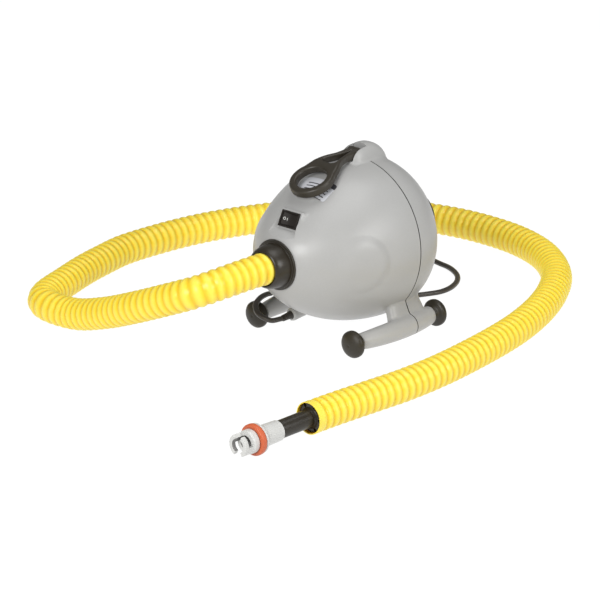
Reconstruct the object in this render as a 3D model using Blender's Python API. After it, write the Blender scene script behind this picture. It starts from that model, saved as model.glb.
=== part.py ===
"""Electric air mattress pump: two-shell housing on skids, blower motor, hose and mains lead.

Frame: metres, +Z up, origin on the floor under the middle of the housing.
The nose (air outlet) points to -Y, the intake port to +Y.
"""
import math

import bmesh
import bpy
from mathutils import Matrix, Vector

# Gaps and walls
GAP = 0.0003
WALL = 0.0026

# Egg-shaped housing, turned about the Y axis
AXIS_Z = 0.1112
AXIS_RISE = 0.003
EGG_Y = 0.024
EGG_R = 0.0999
NOSE_LENGTH = 0.1560
NOSE_POWER = 1.90
TAIL_LENGTH = 0.076
TAIL_POWER = 2.3
NOSE_Y = -0.1228
SEAM_Y = 0.0226
EGG_SEGMENTS = 36

# The front half is a little flatter on top and wider than a turned egg
FLAT_TOP = 0.10
WIDE = 0.038
FLAT_START_Y = -0.015
FLAT_REACH = 0.090

# Shallow oval swelling on each side of the housing
CHEEK_Y = -0.058
CHEEK_Z = 0.112
CHEEK_HALF_Y = 0.034
CHEEK_HALF_Z = 0.038
CHEEK_HEIGHT = 0.0022

# Skids, their legs and the rubber feet
SKID_X = 0.0782
SKID_BOW = 0.006
SKID_Z = 0.0167
SKID_END_Y = 0.0645
SKID_R_FRONT = 0.0098
SKID_R_MIDDLE = 0.0130
SKID_R_REAR = 0.0113
FOOT_R = 0.0167
FOOT_END_Y = 0.0832
FOOT_SEGMENTS = 24
STEM_R = 0.0050

# Air outlet bell and air intake port
OUTLET_HOLE_R = 0.0235
OUTLET_Y = -0.148
HOSE_BORE_R = 0.0206
NOZZLE_BORE_R = 0.0086
PORT_HOLE_R = 0.0285
PORT_END_Y = 0.1255

# Rocker switch: face centre and slope of its plinth
SWITCH_Y = -0.0997
SWITCH_Z = 0.1615
SWITCH_SLOPE = math.radians(63.4)
BEZEL_X = 0.0278
BEZEL_T = 0.0200
ROCKER_TILT = math.radians(8)

# Carry handle and the hood over its hinge
PIN_Y = 0.0170
PIN_Z = 0.2178
PIN_R = 0.0025
HANDLE_THICK = 0.0105
RING_OUT_R = 0.0280
RING_IN_R = 0.0190
RING_REACH = 0.0800
ARM_SLOPE = math.radians(2)
RING_SLOPE = math.radians(25)
HOOD_Y = 0.029
HOOD_Z = 0.196
HOOD_HEIGHT = 0.0324

# Blower and motor, all on the Y axis at AXIS_Z
SHAFT_R = 0.0040
IMPELLER_R = 0.0630
BLADES = 7

# Hose, nozzle and mains lead
HOSE_R = 0.0200
CORD_D = 0.0070
COIL_CENTRE = (-0.110, 0.180)
COIL_MID_R = 0.0385
COIL_LAYERS = 2
COIL_RINGS = 3
PLUG_START = Vector((-0.036, 0.100, 0.0070))
NOZZLE_YAW = math.radians(2.6)
NOZZLE_DROOP = math.radians(1.0)
COLLAR_START = 0.0486
FLANGE_START = 0.0790
NOZZLE_LENGTH = 0.1115
LIP_LENGTH = 0.0048
SLOT_DEPTH = 0.0125

HOSE_ROUTE = [
    (0.0000, -0.1484, 0.1120), (-0.0012, -0.1590, 0.1118), (-0.0053, -0.1787, 0.1100),
    (-0.0134, -0.2083, 0.1060), (-0.0311, -0.2320, 0.0976), (-0.0718, -0.2400, 0.0804),
    (-0.1192, -0.2417, 0.0606), (-0.1746, -0.2364, 0.0388), (-0.2319, -0.2309, 0.0220),
    (-0.2830, -0.2285, 0.0203), (-0.3085, -0.2070, 0.0203), (-0.3277, -0.1529, 0.0203),
    (-0.3420, -0.1073, 0.0203), (-0.3509, -0.0679, 0.0203), (-0.3588, -0.0223, 0.0203),
    (-0.3569, 0.0292, 0.0203), (-0.3508, 0.0768, 0.0203), (-0.3402, 0.1213, 0.0203),
    (-0.3204, 0.1734, 0.0203), (-0.2850, 0.2380, 0.0203), (-0.2320, 0.2900, 0.0203),
    (-0.1720, 0.3260, 0.0203), (-0.1110, 0.3427, 0.0203), (-0.0451, 0.3444, 0.0203),
    (0.0102, 0.3337, 0.0203), (0.0615, 0.3094, 0.0203), (0.1092, 0.2686, 0.0203),
    (0.1432, 0.2194, 0.0203), (0.1704, 0.1633, 0.0203), (0.1907, 0.1029, 0.0203),
    (0.2033, 0.0456, 0.0203), (0.2127, -0.0206, 0.0203), (0.2180, -0.0808, 0.0203),
    (0.2185, -0.1405, 0.0203), (0.2137, -0.1997, 0.0203), (0.2095, -0.2502, 0.0203),
    (0.2072, -0.2940, 0.0203),
]
CORD_FRONT_ROUTE = [
    (-0.0305, -0.0812, 0.0246), (-0.0309, -0.0885, 0.0241), (-0.0345, -0.0960, 0.0250),
    (-0.0450, -0.1015, 0.0290), (-0.0580, -0.0985, 0.0345), (-0.0675, -0.0850, 0.0390),
    (-0.0735, -0.0665, 0.0400),
    (-0.0815, -0.045, 0.0355), (-0.0960, -0.024, 0.0300), (-0.106, -0.004, 0.0185),
    (-0.112, 0.020, 0.0075), (-0.119, 0.046, 0.0040), (-0.131, 0.080, 0.0038),
    (-0.147, 0.115, 0.0038), (-0.1555, 0.153, 0.0038),
]
CORD_REAR_ROUTE = [
    (-0.1555, 0.2070, 0.0095), (-0.154, 0.228, 0.0050), (-0.142, 0.250, 0.0038),
    (-0.120, 0.259, 0.0038), (-0.092, 0.253, 0.0038), (-0.068, 0.244, 0.0038),
    (-0.045, 0.240, 0.0038), (-0.023, 0.230, 0.0038), (-0.0065, 0.216, 0.0038),
    (0.005, 0.198, 0.0038), (0.011, 0.179, 0.0038), (0.0105, 0.161, 0.0038),
    (0.0045, 0.147, 0.0038), (-0.0025, 0.134, 0.0038), (-0.009, 0.118, 0.0040),
    (-0.0155, 0.1050, 0.0052), (-0.0245, 0.1000, 0.0068), (-0.0352, 0.1000, 0.0070),
]

# Colours: linear RGB, roughness, metallic
FINISHES = {
    "shell_grey": ((0.50, 0.50, 0.485), 0.38, 0.0),
    "dark_plastic": ((0.035, 0.030, 0.026), 0.45, 0.0),
    "handle_plastic": ((0.085, 0.075, 0.062), 0.42, 0.0),
    "foot_rubber": ((0.028, 0.022, 0.017), 0.55, 0.0),
    "hose_yellow": ((0.94, 0.70, 0.045), 0.35, 0.0),
    "cord_rubber": ((0.040, 0.034, 0.028), 0.5, 0.0),
    "nozzle_white": ((0.66, 0.66, 0.64), 0.35, 0.0),
    "gasket_orange": ((0.72, 0.13, 0.03), 0.45, 0.0),
    "label_white": ((0.75, 0.75, 0.76), 0.4, 0.0),
    "steel": ((0.55, 0.55, 0.56), 0.3, 1.0),
    "copper": ((0.60, 0.26, 0.12), 0.35, 1.0),
    "inner_plastic": ((0.60, 0.60, 0.58), 0.45, 0.0),
    "brass": ((0.62, 0.48, 0.22), 0.3, 1.0),
    "carbon": ((0.02, 0.02, 0.02), 0.7, 0.0),
    "filter_foam": ((0.05, 0.05, 0.055), 0.95, 0.0),
}

# Scene set-up and small helpers ------------------------------------------------


def clear_scene():
    for obj in list(bpy.data.objects):
        bpy.data.objects.remove(obj, do_unlink=True)


def material(name):
    found = bpy.data.materials.get(name)
    if found:
        return found
    color, roughness, metallic = FINISHES[name]
    made = bpy.data.materials.new(name)
    made.use_nodes = True
    shader = made.node_tree.nodes["Principled BSDF"]
    shader.inputs["Base Color"].default_value = (*color, 1.0)
    shader.inputs["Roughness"].default_value = roughness
    shader.inputs["Metallic"].default_value = metallic
    return made


def add_object(name, bm, finish=None, smooth=40):
    bmesh.ops.recalc_face_normals(bm, faces=bm.faces)
    mesh = bpy.data.meshes.new(name)
    bm.to_mesh(mesh)
    bm.free()
    obj = bpy.data.objects.new(name, mesh)
    bpy.context.scene.collection.objects.link(obj)
    if finish:
        mesh.materials.append(material(finish))
    shade(obj, smooth)
    return obj


def shade(obj, degrees):
    obj.data.shade_smooth()
    obj.data.set_sharp_from_angle(angle=math.radians(degrees))


def set_origin(obj, point):
    """Puts the object's origin at a world point without moving its shape."""
    point = Vector(point)
    obj.data.transform(Matrix.Translation(-point))
    obj.location = point


def combine(target, operation, *tools):
    """Cuts, joins or crops the target with each tool, and removes the tools."""
    for tool in tools:
        modifier = target.modifiers.new("combine", "BOOLEAN")
        modifier.operation = operation
        modifier.solver = "EXACT"
        modifier.object = tool
        bpy.context.view_layer.update()
        graph = bpy.context.evaluated_depsgraph_get()
        result = bpy.data.meshes.new_from_object(target.evaluated_get(graph))
        target.modifiers.clear()
        target.data = result
        bpy.data.objects.remove(tool, do_unlink=True)
    bm = bmesh.new()
    bm.from_mesh(target.data)
    bmesh.ops.remove_doubles(bm, verts=bm.verts, dist=2e-6)
    bmesh.ops.dissolve_degenerate(bm, edges=bm.edges, dist=2e-6)
    bm.to_mesh(target.data)
    bm.free()
    shade(target, 40)
    return target


def add_box(name, low, high, finish=None, matrix=None):
    bm = bmesh.new()
    size = [b - a for a, b in zip(low, high)]
    middle = [(a + b) / 2 for a, b in zip(low, high)]
    place = Matrix.Translation(middle) @ Matrix.Diagonal((*size, 1.0))
    bmesh.ops.create_cube(bm, size=1.0, matrix=place)
    if matrix:
        bm.transform(matrix)
    return add_object(name, bm, finish, smooth=20)


def turned(name, profile, finish=None, segments=24, centre=(0, 0, AXIS_Z), matrix=None):
    """A solid turned about the Y axis from (y, radius) points.

    A profile whose ends are on the axis is capped there; any other is a closed ring.
    """
    bm = bmesh.new()
    rings = []
    for y, radius in profile:
        rings.append(make_ring(bm, y, radius, segments))
    pairs = list(zip(rings, rings[1:]))
    if profile[0][1] > 0 or profile[-1][1] > 0:
        pairs.append((rings[-1], rings[0]))
    for first, second in pairs:
        bridge(bm, first, second, segments)
    bm.transform(matrix if matrix else Matrix.Translation(centre))
    return add_object(name, bm, finish)


def make_ring(bm, y, radius, segments):
    if radius == 0:
        return [bm.verts.new((0, y, 0))]
    step = 2 * math.pi / segments
    start = step / 2
    return [bm.verts.new((radius * math.cos(start + i * step), y, radius * math.sin(start + i * step)))
            for i in range(segments)]


def bridge(bm, first, second, segments):
    for i in range(segments):
        j = (i + 1) % segments
        corners = []
        for vert in (first[i % len(first)], first[j % len(first)],
                     second[j % len(second)], second[i % len(second)]):
            if vert not in corners:
                corners.append(vert)
        if len(corners) > 2:
            bm.faces.new(corners)


def rod(name, start, end, radius, finish=None, segments=16):
    """A plain cylinder between two points."""
    start, end = Vector(start), Vector(end)
    length = (end - start).length
    turn = (end - start).to_track_quat("Y", "Z").to_matrix().to_4x4()
    profile = [(0, 0), (0, radius), (length, radius), (length, 0)]
    return turned(name, profile, finish, segments, matrix=Matrix.Translation(start) @ turn)


# Housing shape ----------------------------------------------------------------


def egg_radius(y, shrink=0.0):
    reach = y - EGG_Y
    length = (NOSE_LENGTH if reach < 0 else TAIL_LENGTH) - shrink
    power = NOSE_POWER if reach < 0 else TAIL_POWER
    rest = 1 - min(abs(reach) / length, 1) ** power
    return (EGG_R - shrink) * rest ** (1 / power)


def axis_height(y):
    return AXIS_Z + AXIS_RISE * (EGG_Y - y)


def smoothstep(t):
    t = min(max(t, 0.0), 1.0)
    return t * t * (3 - 2 * t)


def front_share(y):
    """0 behind the hood, 1 near the nose."""
    return smoothstep((FLAT_START_Y - y) / FLAT_REACH)


def top_factor(y):
    """How far the top half is pressed down; it comes back to round at the outlet."""
    back = 1 - 0.6 * smoothstep((-0.104 - y) / 0.019)
    return 1 - FLAT_TOP * front_share(y) * back


def cheek_lift(x, y, z):
    """Height of the oval swelling on the housing's side at a surface point."""
    away = ((y - CHEEK_Y) / CHEEK_HALF_Y) ** 2 + ((z - CHEEK_Z) / CHEEK_HALF_Z) ** 2
    if away >= 1 or abs(x) < 0.03:
        return 0.0
    return CHEEK_HEIGHT * min(1.0, 2.2 * (1 - away))


def egg_stations(first, last, shrink, count):
    """Y positions spaced evenly in angle along the egg's outline."""
    stations = []
    for i in range(count + 1):
        angle = -math.pi / 2 + math.pi * i / count
        length = (NOSE_LENGTH if angle < 0 else TAIL_LENGTH) - shrink
        y = EGG_Y + length * math.sin(angle)
        if first + 0.002 < y < last - 0.002:
            stations.append(y)
    return [first] + stations + [last]


def egg_solid(name, first, last, shrink=0.0, count=18, segments=EGG_SEGMENTS):
    """A closed egg between two Y planes, flat where it is cut."""
    bm = bmesh.new()
    rings = []
    for y in egg_stations(first, last, shrink, count):
        ring = make_ring(bm, y, egg_radius(y, shrink), segments)
        for vert in ring:
            vert.co.x *= 1 + WIDE * front_share(y)
            vert.co.z *= top_factor(y) if vert.co.z > 0 else 1
            vert.co.z += axis_height(y)
            lift = cheek_lift(*vert.co)
            vert.co.x += math.copysign(lift, vert.co.x)
        rings.append(ring)
    for first_ring, second_ring in zip(rings, rings[1:]):
        bridge(bm, first_ring, second_ring, segments)
    bm.faces.new(rings[0])
    bm.faces.new(rings[-1])
    return add_object(name, bm, "shell_grey")


def skid_offset(y):
    return SKID_X + SKID_BOW * (1 - (y / SKID_END_Y) ** 2)


def skid_radius(y):
    t = y / SKID_END_Y
    end = SKID_R_FRONT if t < 0.25 else SKID_R_REAR
    blend = max(0.0, 1 - ((t - 0.25) / (1.25 if t < 0.25 else 0.75)) ** 2)
    return end + (SKID_R_MIDDLE - end) * blend


def skid_solid(side, segments=12, stations=8):
    """The bowed tube that carries the feet."""
    bm = bmesh.new()
    rings = []
    for i in range(stations):
        y = -SKID_END_Y + 2 * SKID_END_Y * i / (stations - 1)
        ring = make_ring(bm, y, skid_radius(y), segments)
        for vert in ring:
            vert.co.x += side * skid_offset(y)
            vert.co.z += SKID_Z
        rings.append(ring)
    for first_ring, second_ring in zip(rings, rings[1:]):
        bridge(bm, first_ring, second_ring, segments)
    bm.faces.new(rings[0])
    bm.faces.new(rings[-1])
    return add_object("skid", bm)


def leg_solid(side, corners=12, levels=4):
    """The flattened leg that joins a skid to the housing."""
    bm = bmesh.new()
    rings = []
    low_z, high_z = 0.014, 0.066
    for k in range(levels):
        t = k / (levels - 1)
        z = low_z + (high_z - low_z) * t
        half_y = 0.0250 + 0.0090 * (1 - t) ** 2
        half_x = 0.0085
        middle_x = 0.0815 - 0.0240 * t
        ring = []
        for i in range(corners):
            angle = 2 * math.pi * (i + 0.5) / corners
            x = middle_x + half_x * signed_power(math.cos(angle), 0.5)
            y = 0.0240 + half_y * signed_power(math.sin(angle), 0.5)
            ring.append(bm.verts.new((side * x, y, z)))
        rings.append(ring)
    for first_ring, second_ring in zip(rings, rings[1:]):
        bridge(bm, first_ring, second_ring, corners)
    bm.faces.new(rings[0])
    bm.faces.new(rings[-1])
    return add_object("leg", bm)


def signed_power(value, power):
    return math.copysign(abs(value) ** power, value)


def hood_solid(around=20, levels=5):
    """The rounded hood over the handle's hinge: blunt in front, sloping behind."""
    bm = bmesh.new()
    rings = []
    for k in range(levels):
        lift = math.pi / 2 * k / levels
        ring = []
        for i in range(around):
            angle = 2 * math.pi * i / around
            side, along = math.cos(angle), math.sin(angle)
            power = 2 / (2.45 - 0.55 * along)
            reach = 0.0325 if along < 0 else 0.0360
            flat = math.cos(lift) ** power
            x = 0.0185 * signed_power(side, 2 / 2.8) * flat
            y = HOOD_Y + reach * signed_power(along, 2 / 2.8) * flat
            z = HOOD_Z + HOOD_HEIGHT * math.sin(lift) ** power
            ring.append(bm.verts.new((x, y, z)))
        rings.append(ring)
    for first_ring, second_ring in zip(rings, rings[1:]):
        bridge(bm, first_ring, second_ring, around)
    top = [bm.verts.new((0, HOOD_Y, HOOD_Z + HOOD_HEIGHT))]
    bridge(bm, rings[-1], top, around)
    bm.faces.new(rings[0])
    return add_object("hood", bm)


def switch_matrix():
    """Local X across, Y up the slope, Z out of the plinth's face."""
    slope = Vector((0, math.cos(SWITCH_SLOPE), math.sin(SWITCH_SLOPE)))
    out = Vector((0, -math.sin(SWITCH_SLOPE), math.cos(SWITCH_SLOPE)))
    columns = Matrix((Vector((1, 0, 0)), slope, out)).transposed().to_4x4()
    return Matrix.Translation((0, SWITCH_Y, SWITCH_Z)) @ columns


def switch_box(name, half_x, half_t, low, high, finish=None, up=0.0):
    """A block square to the switch's face; up moves it along the slope."""
    return add_box(name, (-half_x, up - half_t, low), (half_x, up + half_t, high), finish, switch_matrix())


def screw_spots():
    """Centres of the two lower shell screws, as (x, z)."""
    angle = math.radians(-60)
    reach = EGG_R - 0.0075
    return [(side * reach * math.cos(angle), AXIS_Z + reach * math.sin(angle)) for side in (1, -1)]


def make_shells():
    body = egg_solid("body", NOSE_Y, EGG_Y + TAIL_LENGTH - 0.0015)
    for side in (1, -1):
        leg = combine(skid_solid(side), "UNION", leg_solid(side))
        combine(body, "UNION", leg)
    gland = rod("gland_boss", (-0.0305, -0.0660, 0.0250), (-0.0290, -0.0250, 0.0290), 0.0082)
    combine(body, "UNION", gland)
    rear = body.copy()
    rear.data = body.data.copy()
    bpy.context.scene.collection.objects.link(rear)
    front = make_front_shell(body)
    rear = make_rear_shell(rear)
    return front, rear


def make_front_shell(front):
    front.name = "front_shell"
    combine(front, "INTERSECT", add_box("crop", (-0.2, -0.2, -0.1), (0.2, SEAM_Y - GAP / 2, 0.3)))
    core = egg_solid("core", NOSE_Y + WALL, EGG_Y + 0.03, WALL, count=14, segments=32)
    combine(front, "DIFFERENCE", core)
    for x, z in screw_spots():
        combine(front, "UNION", rod("boss", (x, 0.004, z), (x, SEAM_Y - GAP / 2, z), 0.0050, None, 12))
    add_switch_plinth(front)
    cuts = [turned("outlet_cut", [(-0.14, 0), (-0.14, OUTLET_HOLE_R), (-0.10, OUTLET_HOLE_R), (-0.10, 0)],
                   segments=24, centre=(0, 0, axis_height(NOSE_Y))),
            add_box("notch", (-0.0195, -0.0045, 0.15), (0.0195, 0.05, 0.25)),
            rod("gland_cut", (-0.0305, -0.07, 0.0250), (-0.0290, -0.0200, 0.0290), 0.0053)]
    for x, z in screw_spots():
        cuts.append(rod("screw_cut", (x, 0.008, z), (x, 0.03, z), 0.0021, None, 12))
    for side in (1, -1):
        x = side * SKID_X
        cuts.append(rod("stem_cut", (x, -0.08, SKID_Z), (x, -0.054, SKID_Z), STEM_R + GAP))
    return combine(front, "DIFFERENCE", *cuts)


def add_switch_plinth(front):
    """A flat, steeper seat for the switch: its top stands proud, its foot is sunk."""
    proud = switch_box("plinth", 0.0175, 0.01375, -0.0046, 0.0, up=-0.00175)
    sunk = switch_box("sunk_walls", 0.0175, 0.01375, -0.0046, 0.0120, up=-0.00175)
    combine(sunk, "INTERSECT", egg_solid("limit", NOSE_Y, 0.0))
    combine(proud, "UNION", sunk)
    combine(front, "UNION", proud)
    pocket = switch_box("pocket", 0.0160, 0.0124, 0.0, 0.0300, up=-0.0016)
    opening = switch_box("opening", 0.0138, 0.0100, -0.01, 0.01)
    combine(front, "DIFFERENCE", pocket, opening)


def make_rear_shell(rear):
    rear.name = "rear_shell"
    combine(rear, "INTERSECT", add_box("crop", (-0.2, SEAM_Y + GAP / 2, -0.1), (0.2, 0.2, 0.3)))
    tongue = add_box("tongue", (-0.0192, -0.0042, 0.18), (0.0192, SEAM_Y + 0.001, 0.23))
    combine(tongue, "INTERSECT", egg_solid("limit", -0.03, 0.05))
    combine(rear, "UNION", tongue)
    combine(rear, "UNION", combine(hood_solid(), "INTERSECT",
                                   add_box("crop", (-0.0192, -0.0042, 0.198), (0.0192, 0.08, 0.3))))
    core = egg_solid("core", -0.05, EGG_Y + TAIL_LENGTH - 0.0045, WALL, count=14, segments=32)
    combine(rear, "DIFFERENCE", core)
    for x, z in screw_spots():
        combine(rear, "UNION", rod("boss", (x, SEAM_Y + GAP / 2, z), (x, 0.052, z), 0.0055, None, 12))
    cuts = [rod("port_cut", (0, 0.07, AXIS_Z), (0, 0.12, AXIS_Z), PORT_HOLE_R, None, 24),
            add_box("slot", (-0.0100, -0.02, 0.2114), (0.0100, 0.0255, 0.25)),
            rod("pin_cut", (-0.0130, PIN_Y, PIN_Z), (0.0130, PIN_Y, PIN_Z), PIN_R + GAP, None, 12)]
    for x, z in screw_spots():
        cuts.append(rod("screw_cut", (x, 0.01, z), (x, 0.09, z), 0.0021, None, 12))
        cuts.append(rod("head_cut", (x, 0.036, z), (x, 0.09, z), 0.0038, None, 12))
    for side in (1, -1):
        x = side * SKID_X
        cuts.append(rod("stem_cut", (x, 0.054, SKID_Z), (x, 0.08, SKID_Z), STEM_R + GAP))
    return combine(rear, "DIFFERENCE", *cuts)


# Pieces on the housing ----------------------------------------------------------


def make_feet():
    """Domed rubber feet, each plugged into a skid's end; a facet rests on the floor."""
    facet = math.cos(math.pi / FOOT_SEGMENTS)
    rim = FOOT_R / facet
    profile = [(-0.0555, 0), (-0.0555, STEM_R), (-0.0648, STEM_R), (-0.0648, 0.0088),
               (-0.0685, 0.0090), (-0.0705, 0.0150), (-0.0725, rim), (-0.0765, rim),
               (-0.0800, 0.0140), (-0.0822, 0.0085), (-FOOT_END_Y, 0)]
    for end, end_name in ((1, "front"), (-1, "rear")):
        for side, side_name in ((-1, "left"), (1, "right")):
            points = [(end * y, r) for y, r in profile]
            turned(f"foot_{end_name}_{side_name}", points, "foot_rubber", FOOT_SEGMENTS,
                   centre=(side * SKID_X, 0, SKID_Z))


def make_outlet_bell():
    """The ring on the nose and the domed bell that holds the hose."""
    centre = (0, 0, axis_height(NOSE_Y))
    face = NOSE_Y - GAP
    ring = [(face, 0.0236), (face, 0.0312), (-0.1248, 0.0312), (-0.1255, 0.0305), (-0.1255, 0.0236)]
    turned("outlet_ring", ring, "dark_plastic", 28, centre)
    profile = [(-0.112, 0.0232), (-0.1258, 0.0232), (-0.1258, 0.0290), (-0.1310, 0.0288),
               (-0.1370, 0.0274), (-0.1430, 0.0250), (OUTLET_Y, 0.0222), (OUTLET_Y, HOSE_BORE_R),
               (-0.1392, HOSE_BORE_R), (-0.1392, 0.0180), (-0.112, 0.0180)]
    turned("outlet_bell", profile, "dark_plastic", 24, centre)


def make_intake():
    """The rear port with its foam filter and the grille that holds it."""
    profile = [(0.0880, 0.0282), (0.0988, 0.0282), (0.0988, 0.0350), (0.1180, 0.0345),
               (PORT_END_Y - 0.0015, 0.0340), (PORT_END_Y, 0.0328), (PORT_END_Y, HOSE_BORE_R),
               (0.1068, HOSE_BORE_R), (0.1068, 0.0256), (0.0880, 0.0256)]
    turned("rear_port", profile, "dark_plastic", 24)
    grille = rod("intake_grille", (0, 0.1035, AXIS_Z), (0, 0.1065, AXIS_Z), 0.0253, "dark_plastic", 24)
    holes = [rod("hole", (0, 0.10, AXIS_Z), (0, 0.11, AXIS_Z), 0.0040, None, 8)]
    for i in range(6):
        angle = math.pi * i / 3
        x, z = 0.0130 * math.cos(angle), AXIS_Z + 0.0130 * math.sin(angle)
        holes.append(rod("hole", (x, 0.10, z), (x, 0.11, z), 0.0040, None, 8))
    combine(grille, "DIFFERENCE", *holes)
    rod("intake_filter", (0, 0.0930, AXIS_Z), (0, 0.1032, AXIS_Z), 0.0252, "filter_foam", 24)


def make_switch():
    housing = switch_box("switch_housing", BEZEL_X / 2, BEZEL_T / 2, GAP, 0.0022, "dark_plastic")
    housing = combine(housing, "UNION", switch_box("can", 0.0134, 0.0096, -0.0160, 0.0010))
    well = switch_box("well", 0.0117, 0.0078, -0.0135, 0.0100)
    combine(housing, "DIFFERENCE", well)
    outline = [(-0.0103, 0.0054), (0, 0.0041), (0.0103, 0.0054), (0.0103, 0.0012),
               (0.0040, -0.0038), (-0.0040, -0.0038), (-0.0103, 0.0012)]
    rocker = extruded("switch_rocker", outline, -0.0074, 0.0074, "dark_plastic")
    pivot = Matrix.Translation((0, 0, -0.0032))
    lay = Matrix.Rotation(math.pi / 2, 4, "X")
    tilt = Matrix.Rotation(ROCKER_TILT, 4, "Y")
    rocker.data.transform(switch_matrix() @ pivot @ tilt @ lay)
    set_origin(rocker, switch_matrix() @ Vector((0, 0, -0.0032)))


def extruded(name, outline, low, high, finish=None):
    """A prism of an XY outline between two heights in Z."""
    bm = bmesh.new()
    rings = [[bm.verts.new((x, y, z)) for x, y in outline] for z in (low, high)]
    bridge(bm, rings[0], rings[1], len(outline))
    bm.faces.new(rings[0])
    bm.faces.new(rings[1])
    return add_object(name, bm, finish, smooth=20)


def handle_bend(reach):
    """Height and slope of the handle's middle plane at a distance from its pin."""
    steps = 24
    along, height = 0.0, 0.0
    for i in range(steps):
        slope = handle_slope(reach * (i + 0.5) / steps)
        along += reach / steps * math.cos(slope)
        height -= reach / steps * math.sin(slope)
    return along, height, handle_slope(reach)


def handle_slope(reach):
    t = min(max((reach - 0.030) / 0.028, 0.0), 1.0)
    return ARM_SLOPE + (RING_SLOPE - ARM_SLOPE) * t * t * (3 - 2 * t)


def ring_points(radius, start, stop, count):
    points = []
    for i in range(count):
        angle = math.radians(start + (stop - start) * i / (count - 1))
        points.append((radius * math.cos(angle), RING_REACH + radius * math.sin(angle)))
    return points


def make_handle():
    right = [(0.0092, -0.0030), (0.0092, 0.0245), (0.0112, 0.0320), (0.0150, 0.0420), (0.0198, 0.0520)]
    arc = ring_points(RING_OUT_R, -32, 90, 12)
    outer = right + arc + [(-x, r) for x, r in reversed(right[:] + arc[:-1])]
    hole = ring_points(RING_IN_R, 0, 345, 24)
    gap = [(0.0, 0.0064), (0.0014, 0.0120), (0.0030, 0.0180), (0.0062, 0.0300), (0.0095, 0.0420), (0.0100, 0.0470),
           (0.0, 0.0500), (-0.0100, 0.0470), (-0.0095, 0.0420), (-0.0062, 0.0300), (-0.0030, 0.0180), (-0.0014, 0.0120)]
    bm = bmesh.new()
    edges = []
    for loop in (outer, hole, gap):
        verts = [bm.verts.new((x, reach, 0)) for x, reach in loop]
        edges += [bm.edges.new((a, b)) for a, b in zip(verts, verts[1:] + verts[:1])]
    bmesh.ops.triangle_fill(bm, edges=edges, use_beauty=True)
    made = bmesh.ops.extrude_face_region(bm, geom=bm.faces[:])
    for vert in [v for v in made["geom"] if isinstance(v, bmesh.types.BMVert)]:
        vert.co.z += HANDLE_THICK
    for vert in bm.verts:
        along, height, slope = handle_bend(vert.co.y)
        lift = vert.co.z - HANDLE_THICK / 2
        vert.co.y = PIN_Y - along + lift * -math.sin(slope)
        vert.co.z = PIN_Z + height + lift * math.cos(slope)
    handle = add_object("carry_handle", bm, "handle_plastic")
    barrel = rod("barrel", (-0.0092, PIN_Y, PIN_Z), (0.0092, PIN_Y, PIN_Z), 0.0060)
    combine(handle, "UNION", barrel)
    bore = rod("bore", (-0.02, PIN_Y, PIN_Z), (0.02, PIN_Y, PIN_Z), PIN_R + GAP, None, 12)
    combine(handle, "DIFFERENCE", bore)
    handle.data.materials.clear()
    handle.data.materials.append(material("handle_plastic"))
    set_origin(handle, (0, PIN_Y, PIN_Z))
    rod("handle_pin", (-0.0127, PIN_Y, PIN_Z), (0.0127, PIN_Y, PIN_Z), PIN_R, "steel", 12)


def make_label():
    """A rating sticker that follows the housing's curve under the handle's ring."""
    half_x, first, last, rows, columns = 0.026, -0.0690, -0.0430, 4, 9
    bm = bmesh.new()
    layers = []
    for offset in (GAP, GAP + 0.0004):
        grid = []
        for i in range(rows + 1):
            y = first + (last - first) * i / rows
            for j in range(columns + 1):
                x = -half_x + 2 * half_x * j / columns
                grid.append(bm.verts.new(egg_point(x, y, offset)))
        layers.append(grid)
    width = columns + 1
    for grid in layers:
        for i in range(rows):
            for j in range(columns):
                k = i * width + j
                bm.faces.new((grid[k], grid[k + 1], grid[k + 1 + width], grid[k + width]))
    rim = list(range(width))
    rim += [i * width + columns for i in range(1, rows + 1)]
    rim += [rows * width + j for j in reversed(range(columns))]
    rim += [i * width for i in reversed(range(1, rows))]
    low, high = ([grid[k] for k in rim] for grid in layers)
    bridge(bm, low, high, len(rim))
    add_object("rating_label", bm, "label_white")


def egg_point(x, y, offset=0.0):
    """A point above the housing's top at a height over its surface."""
    step = 0.0005
    slope = (top_height(x, y + step) - top_height(x, y - step)) / (2 * step)
    lean = (top_height(x + step, y) - top_height(x - step, y)) / (2 * step)
    return Vector((x, y, top_height(x, y) + offset * math.hypot(1, slope, lean)))


def top_height(x, y):
    across = x / (1 + WIDE * front_share(y))
    return axis_height(y) + math.sqrt(egg_radius(y) ** 2 - across ** 2) * top_factor(y)


def make_screws():
    for (x, z), side in zip(screw_spots(), ("right", "left")):
        profile = [(0.0355, 0), (0.0355, 0.0018), (0.0363, 0.0018), (0.0363, 0.0034),
                   (0.0385, 0.0034), (0.0390, 0.0025), (0.0390, 0)]
        profile[0] = (0.0110, 0)
        profile[1] = (0.0110, 0.0018)
        turned(f"shell_screw_{side}", profile, "steel", 12, centre=(x, 0, z))


# Blower and motor -----------------------------------------------------------------


def make_blower():
    housing = [(-0.1000, 0.0240), (-0.0840, 0.0240), (-0.0720, 0.0400), (-0.0620, 0.0700),
               (-0.0200, 0.0720), (-0.0200, 0.0696), (-0.0600, 0.0676), (-0.0700, 0.0385),
               (-0.0832, 0.0215), (-0.1000, 0.0215)]
    turned("blower_housing", housing, "inner_plastic", 24)
    turned("blower_cover", [(-0.0197, 0.0260), (-0.0197, 0.0720), (-0.0170, 0.0720), (-0.0170, 0.0260)],
           "inner_plastic", 24)
    turned("diffuser_plate", [(-0.0420, 0.0150), (-0.0420, 0.0670), (-0.0385, 0.0670), (-0.0385, 0.0150)],
           "inner_plastic", 24)
    make_impeller("impeller_front", -0.0570)
    make_impeller("impeller_rear", -0.0360)
    turned("mount_ring_front", [(-0.0500, 0.0716), (-0.0500, 0.0800), (-0.0420, 0.0825), (-0.0420, 0.0716)],
           "foot_rubber", 24)


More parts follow.
